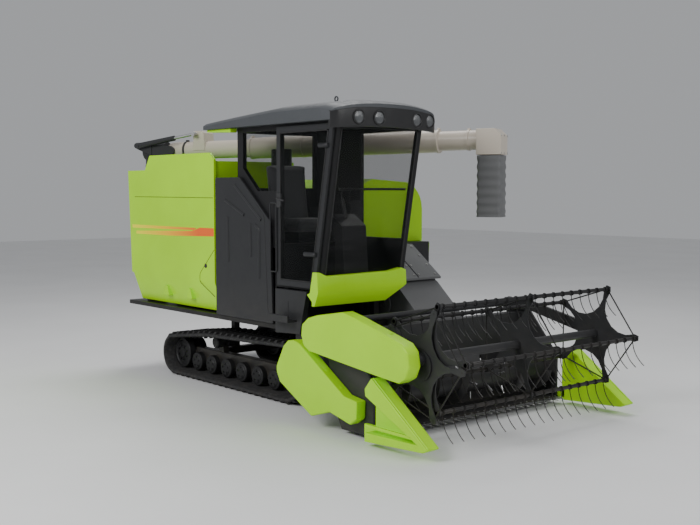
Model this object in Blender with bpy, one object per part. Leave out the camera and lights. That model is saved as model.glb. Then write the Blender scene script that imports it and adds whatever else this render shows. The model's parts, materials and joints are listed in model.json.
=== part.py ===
"""Tracked combine harvester with cab, grain tank, unloading pipe and a wide reel header.

Metres, +X forward, +Y to the machine's left, +Z up.  The design frame has its zero on the
ground near the middle of the tracks; the empty "machine" moves everything so that the world
origin is the bottom centre of the whole machine's box.
"""
import math

import bmesh
import bpy
from mathutils import Matrix, Vector

# ---------------------------------------------------------------- driving dimensions
GAP = 0.0003                 # seat clearance between touching pieces
RUN = 0.006                  # running clearance between moving pieces
WHEEL_PLAY = 0.004           # between a wheel and the flats of the belt wrapped round it

HEADER_WIDTH = 2.50          # over both dividers
HEADER_MID_Y = -0.014
DECK_REAR_X = -2.49
DECK_FRONT_X = 0.25
DECK_Z = 0.74                # top of the platform
DECK_THICK = 0.04
BODY_RIGHT_Y = -0.966        # outer face of the right side panels
BODY_LEFT_Y = 0.96
PANEL_THICK = 0.03

# tracks
TRACK_MID_Y = -0.04
TRACK_GAUGE = 1.16
TRACK_WIDTH = 0.45
LUG_PITCH = 0.090
LUG_HEIGHT = 0.028
LUG_TOP = 0.030
BELT_THICK = 0.035
IDLER_X = -1.755
IDLER_RADIUS = 0.225         # to the lug tips, like the next four
FRONT_ROLLER_X = 0.20
FRONT_ROLLER_RADIUS = 0.20
SPROCKET_X = 0.62
SPROCKET_Z = 0.375
SPROCKET_RADIUS = 0.205
CARRIER_RADIUS = 0.125
CARRIERS = ((0.135, 0.447), (-1.12, 0.403))
ROLLER_RADIUS = 0.095
ROLLER_COUNT = 7
ROLLER_FIRST_X = -1.48
ROLLER_LAST_X = 0.14
ROLLER_WIDTH = 0.22
BEAM_WIDTH = 0.09
BEAM_LOW_Z = 0.14
BEAM_HIGH_Z = 0.30

# grain tank
TANK_REAR_X = -2.07
TANK_FRONT_X = -0.76
TANK_LEFT_Y = 0.0
TANK_TOP_Z = 2.21
TANK_WALL = 0.012
TANK_FLARE_Z = 1.05          # the walls slope inward below this height
PANEL_TOP_Z = 2.29
PANEL_REAR_X = -2.45
PANEL_FRONT_X = -0.745
PANEL_STEP_X = -2.08
PANEL_STEP_Z = 2.14
SKIRT_SLOPE = 0.10           # how far the skirt below the panel leans in

# engine bay and cab
BAY_REAR_X = -0.73
BAY_FRONT_X = 0.22
BAY_HIGH_Z = 1.95
SEAT_DECK_Z = 1.44
BAY_WALL = 0.02
CAB_REAR_X = -0.38
CAB_LEFT_Y = 0.02
CAB_FRAME_THICK = 0.04
CAB_FLOOR_LOW_Z = 1.08
CAB_FLOOR_THICK = 0.04
CAB_TOP_Z = 2.50
A_PILLAR_LOW_X = 0.845
A_PILLAR_HIGH_X = 1.08
WINDSHIELD_LOW_Z = 1.20
PILLAR_WIDTH = 0.045
B_PILLAR_X = 0.27
GLASS = 0.006
DOOR_GAP = GAP               # a closed door rests on its frame
ROOF_REAR_X = -0.82
ROOF_FRONT_X = 1.12
ROOF_NOSE = 0.05             # how far the curved visor bulges ahead of its corners
ROOF_RIGHT_Y = -1.03
ROOF_LEFT_Y = 0.16
ROOF_NOTCH_X = -0.12         # the rear left corner is cut away for the unloading pipe
ROOF_NOTCH_Y = -0.30
ROOF_EDGE = 0.125
ROOF_CROWN = 0.065
VISOR_BACK_X = 1.086         # the visor hangs in front of the windshield's head
VISOR_LOW_Z = 2.432
EYE_BOLT_X = 0.45
EYE_BOLT_TOP_Z = 2.77
BUMPER_FRONT_X = 0.93
BUMPER_KINK_Z = 1.078

# threshing unit
THRESHER_RIGHT_Y = 0.04
THRESHER_REAR_X = -2.25
THRESHER_FRONT_X = 0.29
THRESHER_TOP_Z = 1.42
HOOD_TOP_Z = 2.04
HOOD_FRONT_X = 0.12
HOOD_REAR_X = -1.95

# unloading pipe
POST_X = -2.27
POST_Y = -0.72
POST_RADIUS = 0.10
POST_TOP_Z = 2.20
PIPE_REAR_Z = 2.345          # axis over the post
PIPE_FRONT_Z = 2.405         # axis at the spout
PIPE_HEADING = 26.7          # degrees from forward towards the left
PIPE_RADIUS = 0.108
PIPE_END_RADIUS = 0.093
PIPE_HINGE = 0.25            # lift hinge, along the pipe from the post's axis
PIPE_LENGTH = 3.72           # from the post's axis to the middle of the spout
THIN_END = 0.95              # the thinner tube at the hinge
THIN_TIP = 0.40              # and at the spout
CHEEK = 0.014
BARREL_FOOT = (-0.13, 2.405) # lift cylinder's foot: along the pipe from the post, height
ROD_EYE = (0.57, 2.515)
CYL_SIDE = -0.150            # lift cylinder beside the pipe, on its right
SPOUT_SIDE = 0.24
SPOUT_LOW_Z = 2.26
CHUTE_LOW_Z = 1.68

# feeder house and header
FEEDER_X = 0.56
FEEDER_Z = 0.88
FEEDER_BACK_RADIUS = 0.25
FEEDER_RIGHT_Y = 0.05
FEEDER_LEFT_Y = 0.58
HEADER_UP = 25                # degrees that the header lifts
FEEDER_SHAFT = 0.030         # stub shafts that the feeder house swings on
FEEDER_CHEEK = 0.014
LIFT_CYLINDER_Y = 0.17       # between the tracks, under the feeder house
LIFT_FOOT = (0.30, 0.58)
LIFT_EYE = (1.05, 0.36)
LUG_PLATE = 0.012
ROD_SHARE = 0.55             # a cylinder's rod radius, as a share of its barrel's
ROD_PLAY = 0.0006
EYE_SIDE = 0.002             # how far a cylinder's foot and eye stand out past its barrel, on each side
LIFT_BARREL = 0.035          # barrel radii of the three kinds of cylinder
PIPE_BARREL = 0.028
REEL_BARREL = 0.018
HEADER_BACK_X = 1.30
HEADER_HALF = 1.10           # middle of the header to the inner face of a side sheet
SIDE_SHEET = 0.02
HEADER_FLOOR_Z = 0.055
HEADER_FRONT_X = 1.74
HEADER_TOP_Z = 0.80
AUGER_X = 1.54
AUGER_Z = 0.30
AUGER_TUBE = 0.10
AUGER_FLIGHT = 0.18
AUGER_SHAFT = 0.030
PIN_PLAY = 0.001             # radial clearance of a pin or shaft in its hole
DIVIDER_TIP_X = 2.46
ARM_PIVOT_X = 1.17
ARM_PIVOT_Z = 0.87
ARM_SHAFT = 0.025
ARM_THICK = 0.03
ARM_INSET = 0.02             # from a side sheet to the arm beside it
REEL_X = 2.20
REEL_Z = 0.70
REEL_RADIUS = 0.41
REEL_HALF = 1.03
BAT_COUNT = 5
BAT_RADIUS = 0.016
STAR_BOSS = 0.034
STAR_WAIST = 0.016           # half the width of a star's arm at its thinnest
STAR_DISH = 0.94             # centre of each concave side, as a share of the reel's radius
STAR_THICK = 0.008
STAR_OFFSET = 0.034          # from the right arm to the reel's first star
CAM_SHIFT = (-0.015, -0.052) # from the reel's axis to the cam star's; also the bats' cranks
CAM_DISC = 0.115
CRANK_PIN = 0.007
REEL_TUBE = 0.035
REEL_SHAFT = 0.020
REEL_FOOT = (1.38, 0.52)     # reel cylinder
REEL_EYE = (1.50, 0.80)
TINE_COUNT = 18
TINE_DROP = 0.215
TINE_REACH = 0.115
TINE_SIZE = 0.003

FRONT_X = REEL_X + REEL_RADIUS + TINE_REACH + TINE_SIZE
ORIGIN_X = (FRONT_X + DECK_REAR_X) / 2
ORIGIN_Y = HEADER_MID_Y

LIME = (0.48, 0.87, 0.02)
DARK = (0.05, 0.052, 0.055)
BLACK = (0.015, 0.015, 0.017)
GREY = (0.25, 0.25, 0.26)
BEIGE = (0.58, 0.51, 0.45)
STEEL = (0.45, 0.45, 0.46)

collection = None
bodies = {}
pivots = {}


# ---------------------------------------------------------------- helpers
def clear_scene():
    for item in list(bpy.data.objects):
        bpy.data.objects.remove(item, do_unlink=True)
    for group in list(bpy.data.collections):
        bpy.data.collections.remove(group)


def material(name, colour, roughness, metallic=0.0, alpha=1.0):
    made = bpy.data.materials.get(name)
    if made is None:
        made = bpy.data.materials.new(name)
        made.use_nodes = True
        shader = made.node_tree.nodes["Principled BSDF"]
        shader.inputs["Base Color"].default_value = (*colour, 1.0)
        shader.inputs["Roughness"].default_value = roughness
        shader.inputs["Metallic"].default_value = metallic
        shader.inputs["Alpha"].default_value = alpha
    return made


def add_body(name, pivot, parent=None):
    """An empty on a joint's axis; pieces of the body are parented to it."""
    empty = bpy.data.objects.new("axis_" + name, None)
    collection.objects.link(empty)
    base = pivots[parent] if parent else Vector((0.0, 0.0, 0.0))
    pivots[name] = Vector(pivot)
    if parent:
        empty.parent = bodies[parent]
    empty.location = pivots[name] - base
    bodies[name] = empty


def from_bmesh(shape):
    mesh = bpy.data.meshes.new("piece")
    shape.to_mesh(mesh)
    shape.free()
    piece = bpy.data.objects.new("piece", mesh)
    collection.objects.link(piece)
    return piece


def block(low, high):
    shape = bmesh.new()
    bmesh.ops.create_cube(shape, size=1.0)
    for vert in shape.verts:
        for axis in range(3):
            share = vert.co[axis] + 0.5
            vert.co[axis] = low[axis] + share * (high[axis] - low[axis])
    return from_bmesh(shape)


def rod(start, end, radius, sides=16, end_radius=None):
    start = Vector(start)
    end = Vector(end)
    along = end - start
    shape = bmesh.new()
    tip = radius if end_radius is None else end_radius
    bmesh.ops.create_cone(shape, cap_ends=True, segments=sides, radius1=radius, radius2=tip,
                          depth=along.length)
    turn = along.to_track_quat("Z", "Y").to_matrix().to_4x4()
    bmesh.ops.transform(shape, matrix=Matrix.Translation((start + end) / 2) @ turn, verts=shape.verts)
    return from_bmesh(shape)


def cross_rod(x, z, low_y, high_y, radius, sides=16):
    return rod((x, low_y, z), (x, high_y, z), radius, sides)


def curve_to_piece(curve_object, turn):
    """Make a filled or bevelled curve a closed mesh and put it where the matrix says."""
    bpy.context.view_layer.update()
    ready = curve_object.evaluated_get(bpy.context.evaluated_depsgraph_get())
    mesh = bpy.data.meshes.new_from_object(ready)
    shape = bmesh.new()
    shape.from_mesh(mesh)
    bmesh.ops.remove_doubles(shape, verts=shape.verts, dist=0.00001)
    bmesh.ops.transform(shape, matrix=turn, verts=shape.verts)
    shape.to_mesh(mesh)
    shape.free()
    piece = bpy.data.objects.new("piece", mesh)
    collection.objects.link(piece)
    curve = curve_object.data
    bpy.data.objects.remove(curve_object, do_unlink=True)
    bpy.data.curves.remove(curve)
    return piece


FACING = {
    "X": Matrix(((0, 0, 1, 0), (1, 0, 0, 0), (0, 1, 0, 0), (0, 0, 0, 1))),
    "Y": Matrix(((1, 0, 0, 0), (0, 0, -1, 0), (0, 1, 0, 0), (0, 0, 0, 1))),
    "Z": Matrix.Identity(4),
}


def prism(axis, outline, low, high, holes=()):
    """A flat outline, with holes, given its thickness along one axis from low to high."""
    curve = bpy.data.curves.new("outline", "CURVE")
    curve.dimensions = "2D"
    curve.fill_mode = "BOTH"
    curve.extrude = (high - low) / 2
    for points in (outline, *holes):
        spline = curve.splines.new("POLY")
        spline.points.add(len(points) - 1)
        for point, place in zip(spline.points, points):
            point.co = (place[0], place[1], 0.0, 1.0)
        spline.use_cyclic_u = True
    flat = bpy.data.objects.new("outline", curve)
    collection.objects.link(flat)
    shift = Vector((0.0, 0.0, 0.0))
    shift["XYZ".index(axis)] = (low + high) / 2
    return curve_to_piece(flat, Matrix.Translation(shift) @ FACING[axis])


def tube(points, radius, fineness=2):
    """A round bar or pipe through points, with filled ends."""
    curve = bpy.data.curves.new("path", "CURVE")
    curve.dimensions = "3D"
    curve.bevel_depth = radius
    curve.bevel_resolution = fineness
    curve.use_fill_caps = True
    spline = curve.splines.new("POLY")
    spline.points.add(len(points) - 1)
    for point, place in zip(spline.points, points):
        point.co = (*place, 1.0)
    path = bpy.data.objects.new("path", curve)
    collection.objects.link(path)
    return curve_to_piece(path, Matrix.Identity(4))


def settle(target):
    """Replace an object's mesh by its evaluated one and drop its modifiers."""
    bpy.context.view_layer.update()
    ready = target.evaluated_get(bpy.context.evaluated_depsgraph_get())
    mesh = bpy.data.meshes.new_from_object(ready)
    old = target.data
    target.modifiers.clear()
    target.data = mesh
    bpy.data.meshes.remove(old)
    return target


def combine(target, others, operation):
    for other in others:
        modifier = target.modifiers.new(operation.lower(), "BOOLEAN")
        modifier.operation = operation
        modifier.object = other
        modifier.solver = "EXACT"
    settle(target)
    for other in others:
        mesh = other.data
        bpy.data.objects.remove(other, do_unlink=True)
        bpy.data.meshes.remove(mesh)
    return target


def fuse(target, *others):
    return combine(target, others, "UNION")


def carve(target, *others):
    return combine(target, others, "DIFFERENCE")


def gather(pieces):
    """Pieces that don't touch each other, as the one operand of a union or a cut."""
    shape = bmesh.new()
    for piece in pieces:
        shape.from_mesh(piece.data)
        mesh = piece.data
        bpy.data.objects.remove(piece, do_unlink=True)
        bpy.data.meshes.remove(mesh)
    return from_bmesh(shape)


def name_piece(piece, name, body, finish, smooth=30.0):
    """Give a piece its name, its material and the joint axis that it rides on."""
    piece.name = name
    piece.data.name = name
    piece.data.materials.clear()
    piece.data.materials.append(finish)
    piece.parent = bodies[body]
    piece.location = -pivots[body]
    piece.data.shade_smooth()
    piece.data.set_sharp_from_angle(angle=math.radians(smooth))
    return piece


def arc(centre, radius, start, end, steps):
    """Points on a circle, angles in degrees, both ends included."""
    made = []
    for step in range(steps + 1):
        angle = math.radians(start + (end - start) * step / steps)
        made.append((centre[0] + radius * math.cos(angle), centre[1] + radius * math.sin(angle)))
    return made


def rounded_bar(first, last, first_radius, last_radius, steps=8):
    """Outline of a bar with round ends, around two centres."""
    way = Vector(last) - Vector(first)
    heading = math.degrees(math.atan2(way.y, way.x))
    made = arc(last, last_radius, heading - 90, heading + 90, steps)
    made += arc(first, first_radius, heading + 90, heading + 270, steps)
    return made


def shrink(points, amount):
    """A convex outline moved inward by one amount; the points run anticlockwise."""
    made = []
    count = len(points)
    for index in range(count):
        here = Vector(points[index])
        before = (here - Vector(points[index - 1])).normalized()
        after = (Vector(points[(index + 1) % count]) - here).normalized()
        inward_before = Vector((-before.y, before.x))
        inward_after = Vector((-after.y, after.x))
        lean = (inward_before + inward_after) / (1.0 + inward_before.dot(inward_after))
        made.append(tuple(here + lean * amount))
    return made


# ---------------------------------------------------------------- tracks
def belt_circles():
    """Wheels that the belt wraps, anticlockwise from the idler, as x, z and lug tip radius."""
    return [
        (IDLER_X, IDLER_RADIUS, IDLER_RADIUS),
        (FRONT_ROLLER_X, FRONT_ROLLER_RADIUS, FRONT_ROLLER_RADIUS),
        (SPROCKET_X, SPROCKET_Z, SPROCKET_RADIUS),
        (CARRIERS[0][0], CARRIERS[0][1], CARRIER_RADIUS),
        (CARRIERS[1][0], CARRIERS[1][1], CARRIER_RADIUS),
    ]


def belt_path():
    """The belt's outer line as (length so far, length, point or centre, angles, radius) pieces."""
    circles = belt_circles()
    normals = []
    for index, (x, z, radius) in enumerate(circles):
        next_x, next_z, next_radius = circles[(index + 1) % len(circles)]
        way = Vector((next_x - x, next_z - z))
        lean = math.asin((radius - next_radius) / way.length)
        heading = math.atan2(way.y, way.x)
        normals.append(heading - math.pi / 2 + lean)
    pieces = []
    for index, (x, z, radius) in enumerate(circles):
        start = normals[index - 1]
        turn = (normals[index] - start) % (2 * math.pi)
        pieces.append(("arc", turn * radius, (x, z), start, turn, radius))
        next_x, next_z, next_radius = circles[(index + 1) % len(circles)]
        out = Vector((math.cos(normals[index]), math.sin(normals[index])))
        first = Vector((x, z)) + out * radius
        last = Vector((next_x, next_z)) + out * next_radius
        pieces.append(("line", (last - first).length, first, last, out, 0.0))
    return pieces


def belt_point(pieces, distance, inset):
    """A point of the loop at a distance along it, moved inward by an inset."""
    total = sum(piece[1] for piece in pieces)
    left = distance % total
    for kind, length, first, second, third, radius in pieces:
        if left > length:
            left -= length
            continue
        if kind == "arc":
            angle = second + third * (left / length)
            reach = radius - inset
            return (first[0] + reach * math.cos(angle), first[1] + reach * math.sin(angle))
        place = first.lerp(second, left / length) - third * inset
        return (place.x, place.y)
    return belt_point(pieces, 0.0, inset)


def track_loop(mid_y):
    pieces = belt_path()
    total = sum(piece[1] for piece in pieces)
    lugs = round(total / LUG_PITCH)
    pitch = total / lugs
    flank = 0.008
    outline = []
    for index in range(lugs):
        start = index * pitch
        outline.append(belt_point(pieces, start, LUG_HEIGHT))
        outline.append(belt_point(pieces, start + flank, 0.0))
        outline.append(belt_point(pieces, start + flank + LUG_TOP, 0.0))
        outline.append(belt_point(pieces, start + 2 * flank + LUG_TOP, LUG_HEIGHT))
    inner = []
    for index in range(lugs):
        inner.append(belt_point(pieces, index * pitch, LUG_HEIGHT + BELT_THICK))
    half = TRACK_WIDTH / 2
    return prism("Y", outline, mid_y - half, mid_y + half, holes=(inner,))


def roller_step():
    return (ROLLER_LAST_X - ROLLER_FIRST_X) / (ROLLER_COUNT - 1)


def undercarriage(mid_y):
    """Roller frame of one track: beam, track rollers, idler and the two carrier rollers."""
    inside = LUG_HEIGHT + BELT_THICK
    half = BEAM_WIDTH / 2
    beam = block((ROLLER_FIRST_X - 0.10, mid_y - half, BEAM_LOW_Z),
                 (ROLLER_LAST_X, mid_y + half, BEAM_HIGH_Z))
    nose = block((IDLER_X, mid_y - half, IDLER_RADIUS - 0.035),
                 (ROLLER_FIRST_X, mid_y + half, IDLER_RADIUS + 0.035))
    step = roller_step()
    reach = ROLLER_WIDTH / 2
    wheels = []
    for index in range(ROLLER_COUNT):
        x = ROLLER_FIRST_X + index * step
        z = inside + ROLLER_RADIUS + GAP
        wheels.append(cross_rod(x, z, mid_y - reach, mid_y + reach, ROLLER_RADIUS, 12))
    idler_radius = IDLER_RADIUS - inside - WHEEL_PLAY
    wheels.append(cross_rod(IDLER_X, IDLER_RADIUS, mid_y - reach, mid_y + reach, idler_radius, 20))
    carriers = []
    for x, z in CARRIERS:
        radius = CARRIER_RADIUS - inside - WHEEL_PLAY
        carriers.append(cross_rod(x, z, mid_y - reach, mid_y + reach, radius, 12))
    posts = []
    for x, z in CARRIERS:
        posts.append(block((x - 0.04, mid_y - half, BEAM_HIGH_Z - 0.03), (x + 0.04, mid_y + half, z)))
    return fuse(beam, nose, gather(posts), gather(wheels), gather(carriers))


def tracks(steel, rubber):
    for side, name in ((-1, "right"), (1, "left")):
        mid_y = TRACK_MID_Y + side * TRACK_GAUGE / 2
        name_piece(track_loop(mid_y), "track_" + name, "chassis", rubber)
        name_piece(undercarriage(mid_y), "rollers_" + name, "chassis", steel)


def drive_gearbox(finish):
    radius = SPROCKET_RADIUS - LUG_HEIGHT - BELT_THICK - WHEEL_PLAY
    low_y = TRACK_MID_Y - TRACK_GAUGE / 2
    high_y = TRACK_MID_Y + TRACK_GAUGE / 2
    axle = cross_rod(SPROCKET_X, SPROCKET_Z, low_y - 0.05, high_y + 0.05, 0.055, 16)
    wheels = []
    for mid in (low_y, high_y):
        wheels.append(cross_rod(SPROCKET_X, SPROCKET_Z, mid - 0.04, mid + 0.04, radius, 24))
    case = block((SPROCKET_X - 0.15, -0.24, 0.28), (SPROCKET_X + 0.10, 0.02, 0.56))
    top = DECK_Z - 0.10 - GAP
    neck = block((SPROCKET_X - 0.12, -0.20, 0.50), (SPROCKET_X, -0.02, top))
    return name_piece(fuse(axle, gather(wheels), case, neck), "drive_gearbox", "chassis", finish)


# ---------------------------------------------------------------- chassis
BEAMS_Y = (-0.37, 0.20)
CROSS_TUBE_GAPS = (0.5, 4.5)  # the cross tubes run between rollers, counted from the rear


def chassis_frame(finish):
    deck = block((DECK_REAR_X, BODY_RIGHT_Y + 0.02, DECK_Z - DECK_THICK),
                 (DECK_FRONT_X, BODY_LEFT_Y - 0.02, DECK_Z))
    parts = []
    for y, front_x in zip(BEAMS_Y, (SPROCKET_X - 0.02, DECK_FRONT_X - 0.01)):
        parts.append(block((DECK_REAR_X + 0.1, y, DECK_Z - 0.12), (front_x, y + 0.08, DECK_Z - 0.02)))
    front = block((SPROCKET_X - 0.12, BODY_RIGHT_Y + 0.03, DECK_Z - 0.10),
                  (SPROCKET_X, FEEDER_RIGHT_Y - 0.03, DECK_Z))
    cab_deck = block((DECK_FRONT_X - 0.02, BODY_RIGHT_Y + 0.03, DECK_Z - 0.03),
                     (SPROCKET_X, TANK_LEFT_Y - 0.05, DECK_Z))
    legs = []
    for x in (0.30, SPROCKET_X - 0.10):
        for y in (BODY_RIGHT_Y + 0.06, -0.10):
            legs.append(block((x, y, DECK_Z - 0.01), (x + 0.06, y + 0.06, CAB_FLOOR_LOW_Z - GAP)))
    lugs = []
    for y in (LIFT_CYLINDER_Y - eye_half(LIFT_BARREL) - GAP - LUG_PLATE, LIFT_CYLINDER_Y + eye_half(LIFT_BARREL) + GAP):
        lugs.append(prism("Y", [(DECK_FRONT_X - 0.12, DECK_Z - 0.02), (LIFT_FOOT[0] - 0.03, LIFT_FOOT[1] - 0.04),
                                (LIFT_FOOT[0] + 0.04, LIFT_FOOT[1] - 0.04), (LIFT_FOOT[0] + 0.04, LIFT_FOOT[1] + 0.04),
                                (DECK_FRONT_X - 0.01, DECK_Z - 0.02)], y, y + LUG_PLATE))
    half = BEAM_WIDTH / 2
    low_y = TRACK_MID_Y - TRACK_GAUGE / 2 + half + GAP
    high_y = TRACK_MID_Y + TRACK_GAUGE / 2 - half - GAP
    crosses = []
    drops = []
    for gap in CROSS_TUBE_GAPS:
        x = ROLLER_FIRST_X + gap * roller_step()
        crosses.append(block((x - 0.04, low_y, BEAM_HIGH_Z - 0.07), (x + 0.04, high_y, BEAM_HIGH_Z)))
        for y in BEAMS_Y:
            drops.append(block((x - 0.035, y + 0.01, BEAM_HIGH_Z - 0.06), (x + 0.035, y + 0.07, DECK_Z - 0.10)))
    made = fuse(deck, gather(parts), front, cab_deck, gather(legs), gather(crosses), gather(drops),
                gather(lugs))
    return name_piece(made, "chassis_frame", "chassis", finish)


# ---------------------------------------------------------------- grain tank and post
def grain_tank(finish):
    right = BODY_RIGHT_Y + PANEL_THICK + GAP
    funnel_low = DECK_Z + 0.06
    outer = [(right, TANK_TOP_Z), (right, TANK_FLARE_Z), (right + 0.22, funnel_low),
             (TANK_LEFT_Y - 0.22, funnel_low), (TANK_LEFT_Y, TANK_FLARE_Z), (TANK_LEFT_Y, TANK_TOP_Z)]
    body = prism("X", outer, TANK_REAR_X, TANK_FRONT_X)
    inner = shrink(outer, TANK_WALL)
    tall = 0.1
    inner[0] = (inner[0][0], TANK_TOP_Z + tall)
    inner[-1] = (inner[-1][0], TANK_TOP_Z + tall)
    hollow = prism("X", inner, TANK_REAR_X + TANK_WALL, TANK_FRONT_X - TANK_WALL)
    made = carve(body, hollow)
    feet = []
    for x in (TANK_REAR_X + 0.15, TANK_FRONT_X - 0.25):
        feet.append(block((x, right + 0.25, DECK_Z + GAP), (x + 0.1, TANK_LEFT_Y - 0.25, funnel_low + 0.005)))
    fuse(made, gather(feet))
    return name_piece(made, "grain_tank", "chassis", finish)


def tank_side_panel(finish):
    outline = [
        (PANEL_REAR_X, PANEL_STEP_Z), (PANEL_REAR_X + 0.06, TANK_FLARE_Z), (PANEL_FRONT_X, TANK_FLARE_Z),
        (PANEL_FRONT_X, PANEL_TOP_Z - 0.07), (PANEL_FRONT_X - 0.075, PANEL_TOP_Z),
        (PANEL_STEP_X + 0.10, PANEL_TOP_Z), (PANEL_STEP_X, PANEL_STEP_Z),
    ]
    main = prism("Y", outline, BODY_RIGHT_Y, BODY_RIGHT_Y + PANEL_THICK)
    low_z = DECK_Z + 0.02
    slope_y = SKIRT_SLOPE
    skirt = [
        (BODY_RIGHT_Y, TANK_FLARE_Z + 0.01), (BODY_RIGHT_Y, TANK_FLARE_Z),
        (BODY_RIGHT_Y + slope_y, low_z), (BODY_RIGHT_Y + slope_y + 0.02, low_z),
        (BODY_RIGHT_Y + 0.02, TANK_FLARE_Z), (BODY_RIGHT_Y + 0.02, TANK_FLARE_Z + 0.01),
    ]
    lower = prism("X", skirt, PANEL_REAR_X + 0.10, PANEL_FRONT_X)
    return name_piece(fuse(main, lower), "tank_side_panel", "chassis", finish)


def elevator_post(finish):
    made = rod((POST_X, POST_Y, DECK_Z + GAP), (POST_X, POST_Y, POST_TOP_Z), POST_RADIUS, 20)
    foot = rod((POST_X, POST_Y, DECK_Z + GAP), (POST_X, POST_Y, DECK_Z + 0.03), POST_RADIUS + 0.015, 20)
    collar = rod((POST_X, POST_Y, POST_TOP_Z - 0.03), (POST_X, POST_Y, POST_TOP_Z), POST_RADIUS + 0.015, 20)
    return name_piece(fuse(made, foot, collar), "elevator_post", "chassis", finish)


# ---------------------------------------------------------------- engine bay
def engine_bay(finish, iron, black):
    right = BODY_RIGHT_Y + PANEL_THICK + DOOR_GAP
    left = TANK_LEFT_Y
    outline = [(BAY_REAR_X, DECK_Z + GAP), (BAY_FRONT_X, DECK_Z + GAP), (BAY_FRONT_X, SEAT_DECK_Z - GAP),
               (CAB_REAR_X - RUN, SEAT_DECK_Z - GAP), (CAB_REAR_X - RUN, BAY_HIGH_Z), (BAY_REAR_X, BAY_HIGH_Z)]
    body = prism("Y", outline, right, left)
    hollow = block((BAY_REAR_X + BAY_WALL, right - 0.1, DECK_Z + BAY_WALL),
                   (BAY_FRONT_X - BAY_WALL, left - BAY_WALL, SEAT_DECK_Z - BAY_WALL))
    hollow_high = block((BAY_REAR_X + BAY_WALL, right - 0.1, SEAT_DECK_Z - 0.1),
                        (CAB_REAR_X - RUN - BAY_WALL, left - BAY_WALL, BAY_HIGH_Z - BAY_WALL))
    name_piece(carve(body, hollow, hollow_high), "engine_bay", "chassis", finish)
    engine = block((-0.62, -0.80, DECK_Z + BAY_WALL + GAP), (0.08, -0.22, 1.36))
    name_piece(engine, "engine_block", "chassis", iron)
    base = rod((-0.56, -0.30, BAY_HIGH_Z + GAP), (-0.56, -0.30, BAY_HIGH_Z + 0.22), 0.05, 16)
    bowl = rod((-0.56, -0.30, BAY_HIGH_Z + 0.20), (-0.56, -0.30, BAY_HIGH_Z + 0.38), 0.10, 20)
    name_piece(fuse(base, bowl), "air_cleaner", "chassis", black)


def engine_side_panel(finish):
    low = DECK_Z + 0.005
    outline = [(BAY_REAR_X + 0.01, low), (BAY_FRONT_X - 0.02, low), (BAY_FRONT_X - 0.06, 1.66),
               (CAB_REAR_X + 0.07, 2.05), (BAY_REAR_X + 0.01, 2.05)]
    made = prism("Y", outline, BODY_RIGHT_Y, BODY_RIGHT_Y + PANEL_THICK)
    return name_piece(made, "engine_side_panel", "engine_door", finish)


# ---------------------------------------------------------------- cab
def cab_right_y():
    return BODY_RIGHT_Y + PANEL_THICK + DOOR_GAP


def pillar_x(z):
    """Front edge of the leaning front pillars at a height."""
    share = (z - WINDSHIELD_LOW_Z) / (CAB_TOP_Z - WINDSHIELD_LOW_Z)
    return A_PILLAR_LOW_X + share * (A_PILLAR_HIGH_X - A_PILLAR_LOW_X)


def cab_side_outline():
    return [(CAB_REAR_X, SEAT_DECK_Z), (BAY_FRONT_X + GAP, SEAT_DECK_Z), (BAY_FRONT_X + GAP, CAB_FLOOR_LOW_Z),
            (A_PILLAR_LOW_X, CAB_FLOOR_LOW_Z), (A_PILLAR_LOW_X, WINDSHIELD_LOW_Z),
            (A_PILLAR_HIGH_X, CAB_TOP_Z), (CAB_REAR_X, CAB_TOP_Z)]


def door_opening():
    low = CAB_FLOOR_LOW_Z + CAB_FLOOR_THICK + 0.01
    high = CAB_TOP_Z - PILLAR_WIDTH
    rear = B_PILLAR_X + PILLAR_WIDTH / 2
    return [(rear, low), (pillar_x(low) - PILLAR_WIDTH, low), (pillar_x(high) - PILLAR_WIDTH, high), (rear, high)]


def quarter_window():
    high = CAB_TOP_Z - PILLAR_WIDTH
    front = B_PILLAR_X - PILLAR_WIDTH / 2
    rear = CAB_REAR_X + 2 * PILLAR_WIDTH
    return [(-0.06, 1.925), (front, 1.925), (front, high), (rear, high), (rear, 2.13)]


def left_opening():
    high = CAB_TOP_Z - PILLAR_WIDTH
    low = 1.50
    return [(B_PILLAR_X + 0.03, low), (pillar_x(low) - PILLAR_WIDTH, low),
            (pillar_x(high) - PILLAR_WIDTH, high), (B_PILLAR_X + 0.03, high)]


def rear_opening(right, left):
    return [(right, 1.95), (left, 1.95), (left, CAB_TOP_Z - PILLAR_WIDTH), (right, CAB_TOP_Z - PILLAR_WIDTH)]


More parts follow.
